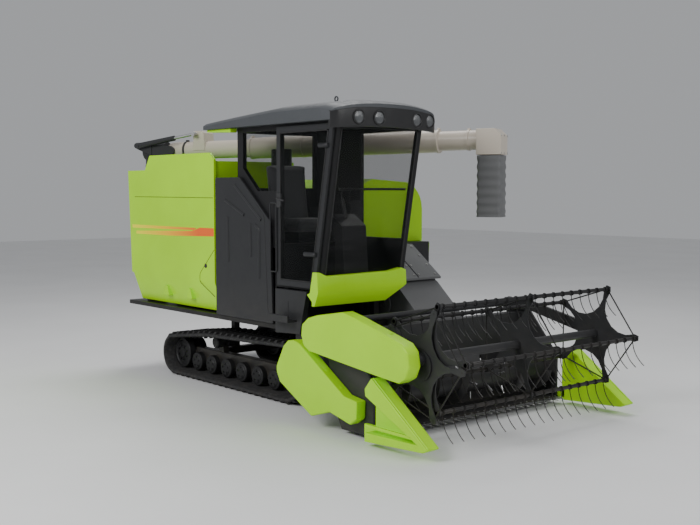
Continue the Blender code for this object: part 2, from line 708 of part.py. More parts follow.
def cab(finish, glass):
    right = cab_right_y()
    inner_right = right + CAB_FRAME_THICK
    left = CAB_LEFT_Y
    inner_left = left - CAB_FRAME_THICK
    frame = prism("Y", cab_side_outline(), right, inner_right, holes=(door_opening(), quarter_window()))
    far_side = prism("Y", cab_side_outline(), inner_left, left, holes=(left_opening(),))
    floor = block((BAY_FRONT_X + GAP, right + 0.01, CAB_FLOOR_LOW_Z),
                  (A_PILLAR_LOW_X - 0.01, left - 0.01, CAB_FLOOR_LOW_Z + CAB_FLOOR_THICK))
    seat_deck = block((CAB_REAR_X + 0.01, right + 0.01, SEAT_DECK_Z),
                      (B_PILLAR_X - 0.01, left - 0.01, SEAT_DECK_Z + 0.02))
    riser = block((BAY_FRONT_X + GAP, right + 0.01, CAB_FLOOR_LOW_Z + 0.01),
                  (BAY_FRONT_X + 0.02, left - 0.01, SEAT_DECK_Z + 0.01))
    sill = block((A_PILLAR_LOW_X - 0.04, right + 0.01, CAB_FLOOR_LOW_Z + 0.01),
                 (A_PILLAR_LOW_X, left - 0.01, WINDSHIELD_LOW_Z))
    head_x = pillar_x(CAB_TOP_Z - PILLAR_WIDTH)
    head = block((head_x - 0.05, right + 0.01, CAB_TOP_Z - PILLAR_WIDTH),
                 (head_x + 0.008, left - 0.01, CAB_TOP_Z - 0.001))
    back_hole = rear_opening(inner_right + 0.04, inner_left - 0.04)
    back = prism("X", [(right + 0.01, SEAT_DECK_Z + 0.001), (left - 0.01, SEAT_DECK_Z + 0.001),
                       (left - 0.01, CAB_TOP_Z - 0.001), (right + 0.01, CAB_TOP_Z - 0.001)],
                 CAB_REAR_X + 0.001, CAB_REAR_X + 0.031, holes=(back_hole,))
    fuse(frame, far_side, floor, seat_deck, riser, sill, head, back)
    name_piece(frame, "cab_frame", "chassis", finish)

    low = WINDSHIELD_LOW_Z + GAP
    high = CAB_TOP_Z - PILLAR_WIDTH - GAP
    screen = prism("Y", [(pillar_x(low) - GLASS - 0.004, low), (pillar_x(low) - 0.004, low),
                         (pillar_x(high) - 0.004, high), (pillar_x(high) - GLASS - 0.004, high)],
                   inner_right + GAP, inner_left - GAP)
    name_piece(screen, "windshield", "chassis", glass)
    pane_y = right + 0.015
    pane = prism("Y", shrink(quarter_window(), GAP), pane_y, pane_y + GLASS)
    name_piece(pane, "right_rear_window", "chassis", glass)
    pane_y = inner_left + 0.015
    pane = prism("Y", shrink(left_opening(), GAP), pane_y, pane_y + GLASS)
    name_piece(pane, "left_window", "chassis", glass)
    pane = prism("X", shrink(back_hole, GAP), CAB_REAR_X + 0.012, CAB_REAR_X + 0.012 + GLASS)
    name_piece(pane, "rear_window", "chassis", glass)


def cab_door(finish, glass):
    outer = BODY_RIGHT_Y
    inner = cab_right_y() - DOOR_GAP
    low = CAB_FLOOR_LOW_Z + 0.02
    high = CAB_TOP_Z - 0.02
    rear = B_PILLAR_X
    outline = [(rear, low), (pillar_x(low) - 0.02, low), (pillar_x(high) - 0.02, high), (rear, high)]
    hole = shrink(outline, 0.05)
    door = prism("Y", outline, outer, inner, holes=(hole,))
    name_piece(door, "cab_door", "cab_door", finish)
    middle = (outer + inner) / 2
    pane = prism("Y", shrink(hole, GAP), middle - GLASS / 2, middle + GLASS / 2)
    name_piece(pane, "door_glass", "cab_door", glass)


def cab_roof(finish):
    """Roof shell: flat edge band with a curved nose, and a lower raised crown on top."""
    mid = (ROOF_RIGHT_Y + ROOF_LEFT_Y) / 2
    half = (ROOF_LEFT_Y - ROOF_RIGHT_Y) / 2
    outline = [(ROOF_NOTCH_X, ROOF_LEFT_Y), (ROOF_REAR_X, ROOF_NOTCH_Y), (ROOF_REAR_X, ROOF_RIGHT_Y)]
    steps = 12
    for step in range(steps + 1):
        share = -1 + 2 * step / steps
        outline.append((ROOF_FRONT_X + ROOF_NOSE * (1 - share * share), mid + half * share))
    band = prism("Z", outline, CAB_TOP_Z + GAP, CAB_TOP_Z + ROOF_EDGE)
    crown = prism("Z", shrink(outline, 0.05), CAB_TOP_Z + ROOF_EDGE - 0.001, CAB_TOP_Z + ROOF_EDGE + ROOF_CROWN)
    shape = bmesh.new()
    shape.from_mesh(crown.data)
    for vert in shape.verts:
        if vert.co.z > CAB_TOP_Z + ROOF_EDGE:
            vert.co.x += 0.12 * (0.2 - vert.co.x)
            vert.co.y += 0.12 * (mid - vert.co.y)
    shape.to_mesh(crown.data)
    shape.free()
    lip = prism("Z", [(VISOR_BACK_X, ROOF_LEFT_Y - 0.03), (VISOR_BACK_X, ROOF_RIGHT_Y + 0.03)] + outline[3:],
                VISOR_LOW_Z, CAB_TOP_Z + 0.01)
    top = CAB_TOP_Z + ROOF_EDGE + ROOF_CROWN
    stem = rod((EYE_BOLT_X, mid, top - 0.02), (EYE_BOLT_X, mid, EYE_BOLT_TOP_Z - 0.045), 0.012, 12)
    ring = cross_rod(EYE_BOLT_X, EYE_BOLT_TOP_Z - 0.028, mid - 0.009, mid + 0.009, 0.028, 16)
    carve(ring, cross_rod(EYE_BOLT_X, EYE_BOLT_TOP_Z - 0.028, mid - 0.05, mid + 0.05, 0.015, 12))
    made = fuse(band, crown, lip, fuse(ring, stem))
    return name_piece(made, "cab_roof", "chassis", finish)


def seat(base_finish, fabric):
    mid = (cab_right_y() + CAB_LEFT_Y) / 2
    top = SEAT_DECK_Z + 0.02
    base = block((-0.26, mid - 0.18, top + GAP), (0.16, mid + 0.18, top + 0.10))
    name_piece(base, "seat_base", "chassis", base_finish)
    cushion = block((-0.17, mid - 0.24, top + 0.10 + GAP), (0.24, mid + 0.24, top + 0.20))
    name_piece(cushion, "seat_cushion", "chassis", fabric)
    back = prism("Y", [(-0.27, top + 0.10 + GAP), (-0.17 - GAP, top + 0.10 + GAP), (-0.17 - GAP, top + 0.20),
                       (-0.24, top + 0.72), (-0.33, top + 0.72)], mid - 0.22, mid + 0.22)
    name_piece(back, "seat_back", "chassis", fabric)


def consoles(finish):
    mid = (cab_right_y() + CAB_LEFT_Y) / 2
    floor = CAB_FLOOR_LOW_Z + CAB_FLOOR_THICK
    column = prism("Y", [(0.62, floor + GAP), (0.76, floor + GAP), (0.72, 1.62), (0.56, 1.72), (0.54, 1.66),
                         (0.62, 1.50)], mid - 0.14, mid + 0.14)
    lever = tube([(0.62, mid, 1.60), (0.58, mid, 1.80), (0.55, mid, 1.86)], 0.018)
    name_piece(fuse(column, lever), "front_console", "chassis", finish)
    left = CAB_LEFT_Y - CAB_FRAME_THICK - GAP
    box = prism("Y", [(-0.28, SEAT_DECK_Z + 0.02 + GAP), (0.26, SEAT_DECK_Z + 0.02 + GAP), (0.34, 1.78),
                      (0.30, 1.84), (-0.28, 1.76)], left - 0.15, left)
    levers = []
    for x in (-0.02, 0.10, 0.22):
        levers.append(tube([(x, left - 0.08, 1.74), (x + 0.02, left - 0.08, 1.95)], 0.009))
    name_piece(fuse(box, gather(levers)), "side_console", "chassis", finish)


def front_bumper(finish):
    """Sheet under the windshield: kinked lengthwise, a raised horn at each end, and a wing round the right end."""
    right = BODY_RIGHT_Y - 0.064
    left = -0.02
    back = A_PILLAR_LOW_X + GAP
    front = BUMPER_FRONT_X
    profile = [(back, 0.955), (front - 0.05, 0.955), (front, BUMPER_KINK_Z), (front - 0.012, 1.26),
               (back + 0.014, 1.26), (back, 1.19)]
    outline = [(right, 0.962), (left - 0.215, 0.962), (left, 1.10), (left, 1.225), (left - 0.05, 1.245),
               (left - 0.18, 1.222), (right + 0.11, 1.212), (right + 0.03, 1.248), (right, 1.248)]
    made = combine(prism("Y", profile, right - 0.01, left + 0.01), (prism("X", outline, back - 0.1, front + 0.1),),
                   "INTERSECT")
    wing = prism("Y", [(back + 0.01, 0.99), (back + 0.02, 1.19), (back - 0.006, 1.17), (back - 0.025, 1.075),
                       (back - 0.065, 1.055)], right, right + 0.02)
    return name_piece(fuse(made, wing), "front_bumper", "chassis", finish)


def cab_steps(finish):
    outer = BODY_RIGHT_Y - 0.02
    inner = BODY_RIGHT_Y + 0.03 - GAP
    wall = prism("Y", [(0.27, 0.68), (SPROCKET_X, 0.70), (0.72, CAB_FLOOR_LOW_Z - 0.01),
                       (0.27, CAB_FLOOR_LOW_Z - 0.01)], outer, inner)
    tread = block((0.30, outer - 0.10, 0.80), (0.58, outer + 0.01, 0.82))
    lip = block((0.30, outer - 0.10, 0.80), (0.58, outer - 0.08, 0.86))
    return name_piece(fuse(wall, tread, lip), "cab_steps", "chassis", finish)


# ---------------------------------------------------------------- threshing unit
def threshing_unit(finish, lime, dark, grey):
    body = block((THRESHER_REAR_X, THRESHER_RIGHT_Y, DECK_Z + GAP),
                 (THRESHER_FRONT_X - 0.04, BODY_LEFT_Y - PANEL_THICK - GAP, THRESHER_TOP_Z))
    name_piece(body, "threshing_body", "chassis", dark)
    low = THRESHER_TOP_Z + GAP
    left = BODY_LEFT_Y
    section = [(THRESHER_RIGHT_Y, low), (left, low), (left, 1.74)]
    section += arc((left - 0.28, 1.74), 0.28, 15, 75, 5)
    section += [(THRESHER_RIGHT_Y + 0.25, HOOD_TOP_Z), (THRESHER_RIGHT_Y, HOOD_TOP_Z - 0.10)]
    hood = prism("X", section, HOOD_REAR_X, HOOD_FRONT_X)
    name_piece(hood, "threshing_hood", "chassis", lime)
    cover = prism("Y", [(THRESHER_REAR_X + 0.10, DECK_Z + 0.04), (THRESHER_FRONT_X - 0.10, DECK_Z + 0.04),
                        (THRESHER_FRONT_X - 0.06, THRESHER_TOP_Z - 0.01),
                        (THRESHER_REAR_X + 0.10, THRESHER_TOP_Z - 0.01)],
                  left - PANEL_THICK, left)
    name_piece(cover, "left_side_cover", "chassis", lime)
    straw = prism("Y", [(THRESHER_REAR_X - GAP, 0.95), (THRESHER_REAR_X - GAP, THRESHER_TOP_Z),
                        (THRESHER_REAR_X - 0.08, THRESHER_TOP_Z), (DECK_REAR_X + 0.01, 1.15),
                        (DECK_REAR_X + 0.01, 0.95)], 0.08, 0.90)
    inside = prism("Y", [(THRESHER_REAR_X - 0.02, 0.90), (THRESHER_REAR_X - 0.02, THRESHER_TOP_Z - 0.02),
                         (THRESHER_REAR_X - 0.07, THRESHER_TOP_Z - 0.02), (DECK_REAR_X + 0.03, 1.14),
                         (DECK_REAR_X + 0.03, 0.90)], 0.10, 0.88)
    carve(straw, inside)
    name_piece(straw, "straw_hood", "chassis", dark)
    back_x = FEEDER_X - FEEDER_BACK_RADIUS
    sweep = arc((FEEDER_X, FEEDER_Z), FEEDER_BACK_RADIUS + 0.012, 180, 52 + HEADER_UP, 8)
    outline = [(THRESHER_FRONT_X - 0.04 + GAP, DECK_Z + 0.02), (back_x - 0.012, DECK_Z + 0.02)]
    outline += sweep
    outline += [(0.745, 1.10), (0.745, 1.12), (0.35, 1.41), (THRESHER_FRONT_X - 0.04 + GAP, 1.41)]
    front = prism("Y", outline, FEEDER_RIGHT_Y - RUN - FEEDER_CHEEK, FEEDER_LEFT_Y + RUN + FEEDER_CHEEK)
    cheek = [(back_x - 0.03, 0.77)] + arc((FEEDER_X, FEEDER_Z), 0.10, -90, 90, 6) + [(back_x - 0.03, 1.10)]
    hole = arc((FEEDER_X, FEEDER_Z), FEEDER_SHAFT + PIN_PLAY, 0, 360 - 22.5, 15)
    cheeks = []
    for y in (FEEDER_RIGHT_Y - RUN - FEEDER_CHEEK, FEEDER_LEFT_Y + RUN):
        cheeks.append(prism("Y", cheek, y, y + FEEDER_CHEEK, holes=(hole,)))
    name_piece(fuse(front, gather(cheeks)), "feeder_cover", "chassis", grey)


# ---------------------------------------------------------------- unloading pipe
def pipe_frame():
    """Matrix that puts a shape made along +X at the origin onto the pipe's heading at the post."""
    turn = Matrix.Rotation(math.radians(PIPE_HEADING), 4, "Z")
    return Matrix.Translation((POST_X, POST_Y, 0.0)) @ turn


def on_pipe(piece):
    piece.data.transform(pipe_frame())
    return piece


def pipe_point(along, side, z):
    return tuple(pipe_frame() @ Vector((along, side, z)))


def pipe_z(along):
    """Height of the pipe's axis; it climbs slightly towards the spout."""
    return PIPE_REAR_Z + (PIPE_FRONT_Z - PIPE_REAR_Z) * along / PIPE_LENGTH


def pipe_rod(first, last, radius, sides=20):
    return rod((first, 0, pipe_z(first)), (last, 0, pipe_z(last)), radius, sides)


def unloading_pipe(beige, dark, chute_finish, steel):
    hinge_z = pipe_z(PIPE_HINGE)
    base = rod((0, 0, POST_TOP_Z + GAP), (0, 0, hinge_z), POST_RADIUS + 0.01, 20)
    head = rod((-POST_RADIUS - 0.01, 0, hinge_z), (PIPE_HINGE - PIPE_END_RADIUS - RUN, 0, hinge_z),
               PIPE_END_RADIUS + 0.005, 20)
    cheeks = []
    for side in (-1, 1):
        near = side * (PIPE_END_RADIUS + RUN)
        far = near + side * CHEEK
        plate = rounded_bar((0.04, hinge_z), (PIPE_HINGE, hinge_z), 0.07, 0.05)
        cheeks.append(prism("Y", plate, min(near, far), max(near, far)))
    web = block((0.0, -PIPE_END_RADIUS - RUN - CHEEK, hinge_z - 0.05),
                (0.06, PIPE_END_RADIUS + RUN + CHEEK, hinge_z + 0.05))
    foot_z = BARREL_FOOT[1]
    tail = prism("Y", [(BARREL_FOOT[0] - 0.04, foot_z - 0.03), (0.02, hinge_z - 0.05), (0.02, hinge_z + 0.05),
                       (BARREL_FOOT[0] + 0.03, foot_z + 0.035), (BARREL_FOOT[0] - 0.04, foot_z + 0.035)],
                 CYL_SIDE + eye_half(PIPE_BARREL) + GAP, 0.0)
    name_piece(on_pipe(fuse(base, head, gather(cheeks), web, tail)), "pipe_elbow", "pipe_slew", dark)

    shape = bmesh.new()
    bmesh.ops.create_uvsphere(shape, u_segments=16, v_segments=8, radius=PIPE_END_RADIUS)
    bmesh.ops.translate(shape, verts=shape.verts, vec=(PIPE_HINGE, 0.0, hinge_z))
    ball = from_bmesh(shape)
    end = PIPE_LENGTH - SPOUT_SIDE / 2
    first = pipe_rod(PIPE_HINGE, PIPE_HINGE + THIN_END, PIPE_END_RADIUS)
    middle = pipe_rod(PIPE_HINGE + THIN_END - 0.05, end - THIN_TIP, PIPE_RADIUS)
    tip = pipe_rod(end - THIN_TIP - 0.05, end - 0.0016, PIPE_END_RADIUS)
    saddle = block((ROD_EYE[0] - 0.04, -0.10, hinge_z), (ROD_EYE[0] + 0.10, 0.10, ROD_EYE[1] + 0.035))
    boss = rod((ROD_EYE[0], CYL_SIDE + eye_half(PIPE_BARREL) + GAP, ROD_EYE[1]), (ROD_EYE[0], -0.09, ROD_EYE[1]), 0.02)
    name_piece(on_pipe(fuse(ball, first, middle, tip, saddle, boss)), "unloading_pipe", "pipe_lift", beige)

    near = end + GAP
    far = PIPE_LENGTH + SPOUT_SIDE / 2
    half = SPOUT_SIDE / 2
    top = pipe_z(PIPE_LENGTH) + PIPE_END_RADIUS + 0.005
    spout = prism("Y", [(near, SPOUT_LOW_Z), (far, SPOUT_LOW_Z), (far, top - 0.06), (far - 0.06, top), (near, top)],
                  -half, half)
    hollow = block((near + 0.01, -half + 0.01, SPOUT_LOW_Z - 0.1), (far - 0.01, half - 0.01, pipe_z(end)))
    name_piece(on_pipe(carve(spout, hollow)), "pipe_spout", "pipe_lift", beige)
    chute = block((near, -half, CHUTE_LOW_Z), (far, half, SPOUT_LOW_Z - GAP))
    hollow = block((near + 0.01, -half + 0.01, CHUTE_LOW_Z - 0.1), (far - 0.01, half - 0.01, SPOUT_LOW_Z + 0.1))
    name_piece(on_pipe(carve(chute, hollow)), "pipe_chute", "pipe_lift", chute_finish)

    foot = Vector((BARREL_FOOT[0], CYL_SIDE, BARREL_FOOT[1]))
    eye = Vector((ROD_EYE[0], CYL_SIDE, ROD_EYE[1]))
    cylinder(foot, eye, PIPE_BARREL, 0.66, 0.42, on_pipe, ("pipe_cylinder_barrel", "pipe_barrel"),
             ("pipe_cylinder_rod", "pipe_rod"), (dark, steel))


def eye_half(barrel_radius):
    """Half the width of a cylinder's foot and eye."""
    return barrel_radius + EYE_SIDE


def cylinder(foot, eye, radius, share, inner_share, place, barrel_names, rod_names, finishes):
    """A hydraulic cylinder between two pins: barrel with its foot eye, and rod with its own."""
    way = (eye - foot).normalized()
    reach = (eye - foot).length
    mouth = foot + way * (reach * share)
    barrel = rod(foot, mouth, radius, 16)
    side = Vector((0.0, eye_half(radius), 0.0))
    knuckle = rod(foot - side, foot + side, radius, 16)
    bore_from = foot + way * (radius + 0.02)
    barrel = fuse(barrel, knuckle)
    carve(barrel, rod(bore_from, mouth + way * 0.05, radius * ROD_SHARE + ROD_PLAY, 16))
    name_piece(place(barrel), barrel_names[0], barrel_names[1], finishes[0])
    inner = foot + way * (reach * share * inner_share)
    shaft = rod(inner, eye, radius * ROD_SHARE, 16)
    knuckle = rod(eye - side, eye + side, radius * 0.8, 16)
    name_piece(place(fuse(shaft, knuckle)), rod_names[0], rod_names[1], finishes[1])


# ---------------------------------------------------------------- feeder house and header
def feeder_house(finish):
    outline = arc((FEEDER_X, FEEDER_Z), FEEDER_BACK_RADIUS, 50, 250, 12)
    outline += [(SPROCKET_X + SPROCKET_RADIUS + 0.05, 0.62), (HEADER_BACK_X - GAP, 0.18),
                (HEADER_BACK_X - GAP, 0.56)]
    made = prism("Y", outline, FEEDER_RIGHT_Y, FEEDER_LEFT_Y)
    lugs = []
    shaft = cross_rod(FEEDER_X, FEEDER_Z, FEEDER_RIGHT_Y - RUN - FEEDER_CHEEK, FEEDER_LEFT_Y + RUN + FEEDER_CHEEK,
                      FEEDER_SHAFT, 16)
    for y in (LIFT_CYLINDER_Y - eye_half(LIFT_BARREL) - GAP - LUG_PLATE, LIFT_CYLINDER_Y + eye_half(LIFT_BARREL) + GAP):
        lugs.append(prism("Y", [(LIFT_EYE[0] - 0.04, LIFT_EYE[1] - 0.02), (LIFT_EYE[0] + 0.03, LIFT_EYE[1] - 0.02),
                                (LIFT_EYE[0] + 0.10, 0.50), (LIFT_EYE[0] - 0.10, 0.55)], y, y + LUG_PLATE))
    fuse(made, shaft, gather(lugs))
    return name_piece(made, "feeder_house", "header", finish)


def header_sides():
    low = HEADER_MID_Y - HEADER_HALF
    high = HEADER_MID_Y + HEADER_HALF
    return low, high


def header_frame(finish):
    low, high = header_sides()
    back = block((HEADER_BACK_X, low - SIDE_SHEET, HEADER_FLOOR_Z + 0.10),
                 (HEADER_BACK_X + 0.02, high + SIDE_SHEET, HEADER_TOP_Z))
    floor_line = [(HEADER_BACK_X, HEADER_FLOOR_Z + 0.11), (HEADER_BACK_X + 0.10, HEADER_FLOOR_Z),
                  (HEADER_FRONT_X, HEADER_FLOOR_Z), (HEADER_FRONT_X, HEADER_FLOOR_Z + 0.02),
                  (HEADER_BACK_X + 0.11, HEADER_FLOOR_Z + 0.02), (HEADER_BACK_X + 0.02, HEADER_FLOOR_Z + 0.12)]
    floor = prism("Y", floor_line, low - SIDE_SHEET, high + SIDE_SHEET)
    top_tube = block((HEADER_BACK_X - 0.07, low - SIDE_SHEET, HEADER_TOP_Z - 0.08),
                     (HEADER_BACK_X + 0.01, high + SIDE_SHEET, HEADER_TOP_Z))
    sheet = [(HEADER_BACK_X - 0.06, 0.40), (HEADER_BACK_X + 0.06, HEADER_FLOOR_Z - 0.02),
             (HEADER_FRONT_X, HEADER_FLOOR_Z - 0.02), (HEADER_FRONT_X, 0.44),
             (HEADER_BACK_X + 0.12, HEADER_TOP_Z + 0.02)]
    sheet += arc((ARM_PIVOT_X, ARM_PIVOT_Z), 0.06, 60, 225, 8)
    sides = []
    for y in (low - SIDE_SHEET, high):
        sides.append(prism("Y", sheet, y, y + SIDE_SHEET))
    skids = []
    for y in (low + 0.06, high - 0.16):
        skids.append(prism("Y", [(1.20, 0.12), (1.26, 0.015), (1.58, 0.015), (1.66, HEADER_FLOOR_Z + 0.01),
                                 (1.38, HEADER_FLOOR_Z + 0.01), (1.30, 0.14)], y, y + 0.10))
    lug_y = reel_cylinder_y() + eye_half(REEL_BARREL) + GAP
    lug = prism("Y", [(HEADER_BACK_X + 0.01, REEL_FOOT[1] - 0.05), (REEL_FOOT[0] + 0.02, REEL_FOOT[1] - 0.03),
                      (REEL_FOOT[0] + 0.02, REEL_FOOT[1] + 0.03), (HEADER_BACK_X + 0.01, REEL_FOOT[1] + 0.05)],
                lug_y, lug_y + LUG_PLATE)
    fuse(back, floor, top_tube, gather(sides), gather(skids), lug)
    mouth = block((HEADER_BACK_X - 0.1, FEEDER_RIGHT_Y + 0.04, 0.20),
                  (HEADER_BACK_X + 0.1, FEEDER_LEFT_Y - 0.04, 0.50))
    carve(back, mouth)
    for y in (low, high):
        auger_hole = cross_rod(AUGER_X, AUGER_Z, y - 0.05, y + 0.05, AUGER_SHAFT + PIN_PLAY, 16)
        arm_hole = cross_rod(ARM_PIVOT_X, ARM_PIVOT_Z, y - 0.05, y + 0.05, ARM_SHAFT + PIN_PLAY, 16)
        carve(back, auger_hole, arm_hole)
    return name_piece(back, "header_frame", "header", finish)


def cutter_bar(finish):
    low, high = header_sides()
    bar = block((HEADER_FRONT_X + GAP, low, HEADER_FLOOR_Z), (HEADER_FRONT_X + 0.03, high, HEADER_FLOOR_Z + 0.02))
    fingers = []
    count = 28
    for index in range(count):
        y = low + (index + 0.5) * (high - low) / count
        fingers.append(rod((HEADER_FRONT_X + 0.025, y, HEADER_FLOOR_Z + 0.01),
                           (HEADER_FRONT_X + 0.12, y, HEADER_FLOOR_Z + 0.008), 0.009, 4, 0.002))
    return name_piece(fuse(bar, gather(fingers)), "cutter_bar", "header", finish)


def header_auger(finish):
    """Tube with a flight disc stack standing for the two opposed spirals."""
    low, high = header_sides()
    drum = cross_rod(AUGER_X, AUGER_Z, low + 0.02, high - 0.02, AUGER_TUBE, 20)
    shaft = cross_rod(AUGER_X, AUGER_Z, low - SIDE_SHEET + 0.002, high + SIDE_SHEET - 0.002, AUGER_SHAFT, 16)
    flights = []
    count = 6
    for index in range(count):
        y = low + 0.10 + index * (high - low - 0.20) / (count - 1)
        flights.append(cross_rod(AUGER_X, AUGER_Z, y - 0.003, y + 0.003, AUGER_FLIGHT, 18))
    return name_piece(fuse(drum, shaft, gather(flights)), "header_auger", "auger", finish)


def dividers(lime):
    low, high = header_sides()
    edge = HEADER_WIDTH / 2
    for side, name in ((-1, "right"), (1, "left")):
        sheet_y = low - SIDE_SHEET if side < 0 else high + SIDE_SHEET
        outer = HEADER_MID_Y + side * edge
        span = sorted((sheet_y, outer))
        outline = [(HEADER_FRONT_X + 0.045, 0.035), (DIVIDER_TIP_X - 0.05, 0.07), (DIVIDER_TIP_X, 0.095),
                   (HEADER_FRONT_X + 0.12, 0.53), (HEADER_FRONT_X + 0.045, 0.44)]
        body = prism("Y", outline, span[0], span[1])
        hollow = [(HEADER_FRONT_X - 0.05, 0.15), (2.22, 0.15), (HEADER_FRONT_X + 0.06, 0.40),
                  (HEADER_FRONT_X - 0.05, 0.40)]
        deep = 0.10
        if side < 0:
            cut = prism("Y", hollow, outer - 0.1, outer + deep)
        else:
            cut = prism("Y", hollow, outer - deep, outer + 0.1)
        carve(body, cut)
        arm_span = (sheet_y + GAP, sheet_y + 0.03) if side > 0 else (sheet_y - 0.03, sheet_y - GAP)
        arm = block((HEADER_FRONT_X - 0.07, arm_span[0], 0.06), (HEADER_FRONT_X + 0.08, arm_span[1], 0.14))
        fuse(body, arm)
        name_piece(body, name + "_divider", "header", lime)


def drive_covers(lime):
    low, _ = header_sides()
    outer = HEADER_MID_Y - HEADER_WIDTH / 2
    inner = low - SIDE_SHEET
    outline = [(1.10, 0.64), (1.975, 0.545), (2.155, 0.53), (2.23, 0.57), (2.27, 0.66), (2.25, 0.77), (2.19, 0.825),
               (1.66, 0.965), (1.52, 0.995), (1.20, 0.94), (1.09, 0.91), (1.01, 0.85), (1.0, 0.76), (1.03, 0.68)]
    upper = prism("Y", outline, outer, inner - RUN)
    name_piece(upper, "upper_drive_cover", "reel_arms", lime)
    outline = [(1.091, 0.106), (1.328, 0.177), (1.578, 0.12), (1.654, 0.173), (1.661, 0.313), (1.501, 0.335),
               (0.935, 0.68), (0.86, 0.70), (0.78, 0.69), (0.72, 0.64), (0.62, 0.46), (0.62, 0.41), (0.666, 0.326)]
    lower = prism("Y", outline, outer + 0.03, inner - GAP)
    name_piece(lower, "lower_drive_cover", "header", lime)


def arm_sides():
    """Outer faces of the right and left reel arms, and the space between them."""
    low, high = header_sides()
    return low + ARM_INSET, high - ARM_INSET - ARM_THICK


def reel_arms(finish):
    """Two arms joined by the shaft they pivot on, with the cam disc beside the right arm."""
    low, high = header_sides()
    cover_face = low - SIDE_SHEET - RUN + GAP
    shaft = cross_rod(ARM_PIVOT_X, ARM_PIVOT_Z, cover_face, high + SIDE_SHEET - 0.002, ARM_SHAFT, 16)
    arms = []
    outline = arc((ARM_PIVOT_X, ARM_PIVOT_Z), 0.05, 90, 270, 6)
    outline += [(ARM_PIVOT_X + 0.28, ARM_PIVOT_Z - 0.04)]
    outline += arc((REEL_X, REEL_Z), 0.05, -100, 80, 6)
    outline += [(ARM_PIVOT_X + 0.30, ARM_PIVOT_Z + 0.045)]
    for y in arm_sides():
        arms.append(prism("Y", outline, y, y + ARM_THICK))
    boss = cross_rod(REEL_X, REEL_Z, cover_face, arm_sides()[0] + 0.01, 0.045, 16)
    disc_y = arm_sides()[0] + ARM_THICK
    disc = cross_rod(REEL_X + CAM_SHIFT[0], REEL_Z + CAM_SHIFT[1], disc_y - 0.01, disc_y + 0.016, CAM_DISC, 24)
    lug_y = reel_cylinder_y() - eye_half(REEL_BARREL) - GAP - 0.02
    lug = prism("Y", [(REEL_EYE[0] - 0.03, REEL_EYE[1] - 0.03), (REEL_EYE[0] + 0.03, REEL_EYE[1] - 0.03),
                      (REEL_EYE[0] + 0.05, ARM_PIVOT_Z), (REEL_EYE[0] - 0.05, ARM_PIVOT_Z)],
                lug_y, reel_cylinder_y() - eye_half(REEL_BARREL) - GAP)
    made = fuse(shaft, gather(arms), boss, disc, lug)
    bore = cross_rod(REEL_X, REEL_Z, low - 0.2, high + 0.2, REEL_SHAFT + PIN_PLAY, 16)
    throat = cross_rod(REEL_X, REEL_Z, disc_y - 0.002, disc_y + 0.05, REEL_TUBE + 0.005, 16)
    carve(made, bore, throat)
    return name_piece(made, "reel_arms", "reel_arms", finish)


def bat_angle(index):
    return 2 * math.pi * index / BAT_COUNT


def star_outline(radius, waist, boss, steps=5):
    """Star plate with a round boss at each bat and concave sides between them."""
    made = []
    half = math.pi / BAT_COUNT
    far = radius * STAR_DISH
    pull = far * math.sin(half) - waist
    sweep = 90 - math.degrees(half)
    for index in range(BAT_COUNT):
        angle = bat_angle(index)
        centre = (radius * math.cos(angle), radius * math.sin(angle))
        heading = math.degrees(angle)
        made += arc(centre, boss, heading - 105, heading + 105, 3)
        middle = angle + half
        back = math.degrees(middle) + 180
        made += arc((far * math.cos(middle), far * math.sin(middle)), pull, back + sweep, back - sweep, steps)
    return made


def bat_centre(index):
    angle = bat_angle(index)
    return REEL_X + REEL_RADIUS * math.cos(angle), REEL_Z + REEL_RADIUS * math.sin(angle)


def star_plate(centre, low_y, high_y):
    outline = []
    for x, z in star_outline(REEL_RADIUS, STAR_WAIST, STAR_BOSS):
        outline.append((centre[0] + x, centre[1] + z))
    return prism("Y", outline, low_y, high_y)


def reel_span():
    """Room for the reel between the two arms, and the right face of its first star."""
    low, high = arm_sides()
    low += ARM_THICK
    return low, high - RUN, low + STAR_OFFSET


def reel(finish):
    low, high, star_y = reel_span()
    middle = cross_rod(REEL_X, REEL_Z, low + 0.001, high, REEL_TUBE, 16)
    shaft = cross_rod(REEL_X, REEL_Z, low - ARM_THICK - 0.01, high + ARM_THICK, REEL_SHAFT, 16)
    stars = []
    holes = []
    for y in (star_y, (star_y + high) / 2, high - STAR_THICK - 0.01):
        stars.append(star_plate((REEL_X, REEL_Z), y, y + STAR_THICK))
        for index in range(BAT_COUNT):
            x, z = bat_centre(index)
            holes.append(cross_rod(x, z, y - 0.02, y + 0.03, BAT_RADIUS + PIN_PLAY, 10))
    fuse(middle, shaft, gather(stars))
    carve(middle, gather(holes))
    return name_piece(middle, "reel", "reel", finish)


def cam_star(finish):
    """Star on the fixed cam disc; its bosses hold the crank pins and keep the tines' angle."""
    low, _, _ = reel_span()
    centre = (REEL_X + CAM_SHIFT[0], REEL_Z + CAM_SHIFT[1])
    plate = star_plate(centre, low + 0.005, low + 0.005 + STAR_THICK)
    cuts = [cross_rod(centre[0], centre[1], low - 0.02, low + 0.05, CAM_DISC + PIN_PLAY, 24)]
    for index in range(BAT_COUNT):
        x, z = bat_centre(index)
        cuts.append(cross_rod(x + CAM_SHIFT[0], z + CAM_SHIFT[1], low - 0.02, low + 0.05,
                              CRANK_PIN + PIN_PLAY, 10))
    carve(plate, gather(cuts))
    return name_piece(plate, "reel_cam_star", "cam_star", finish)


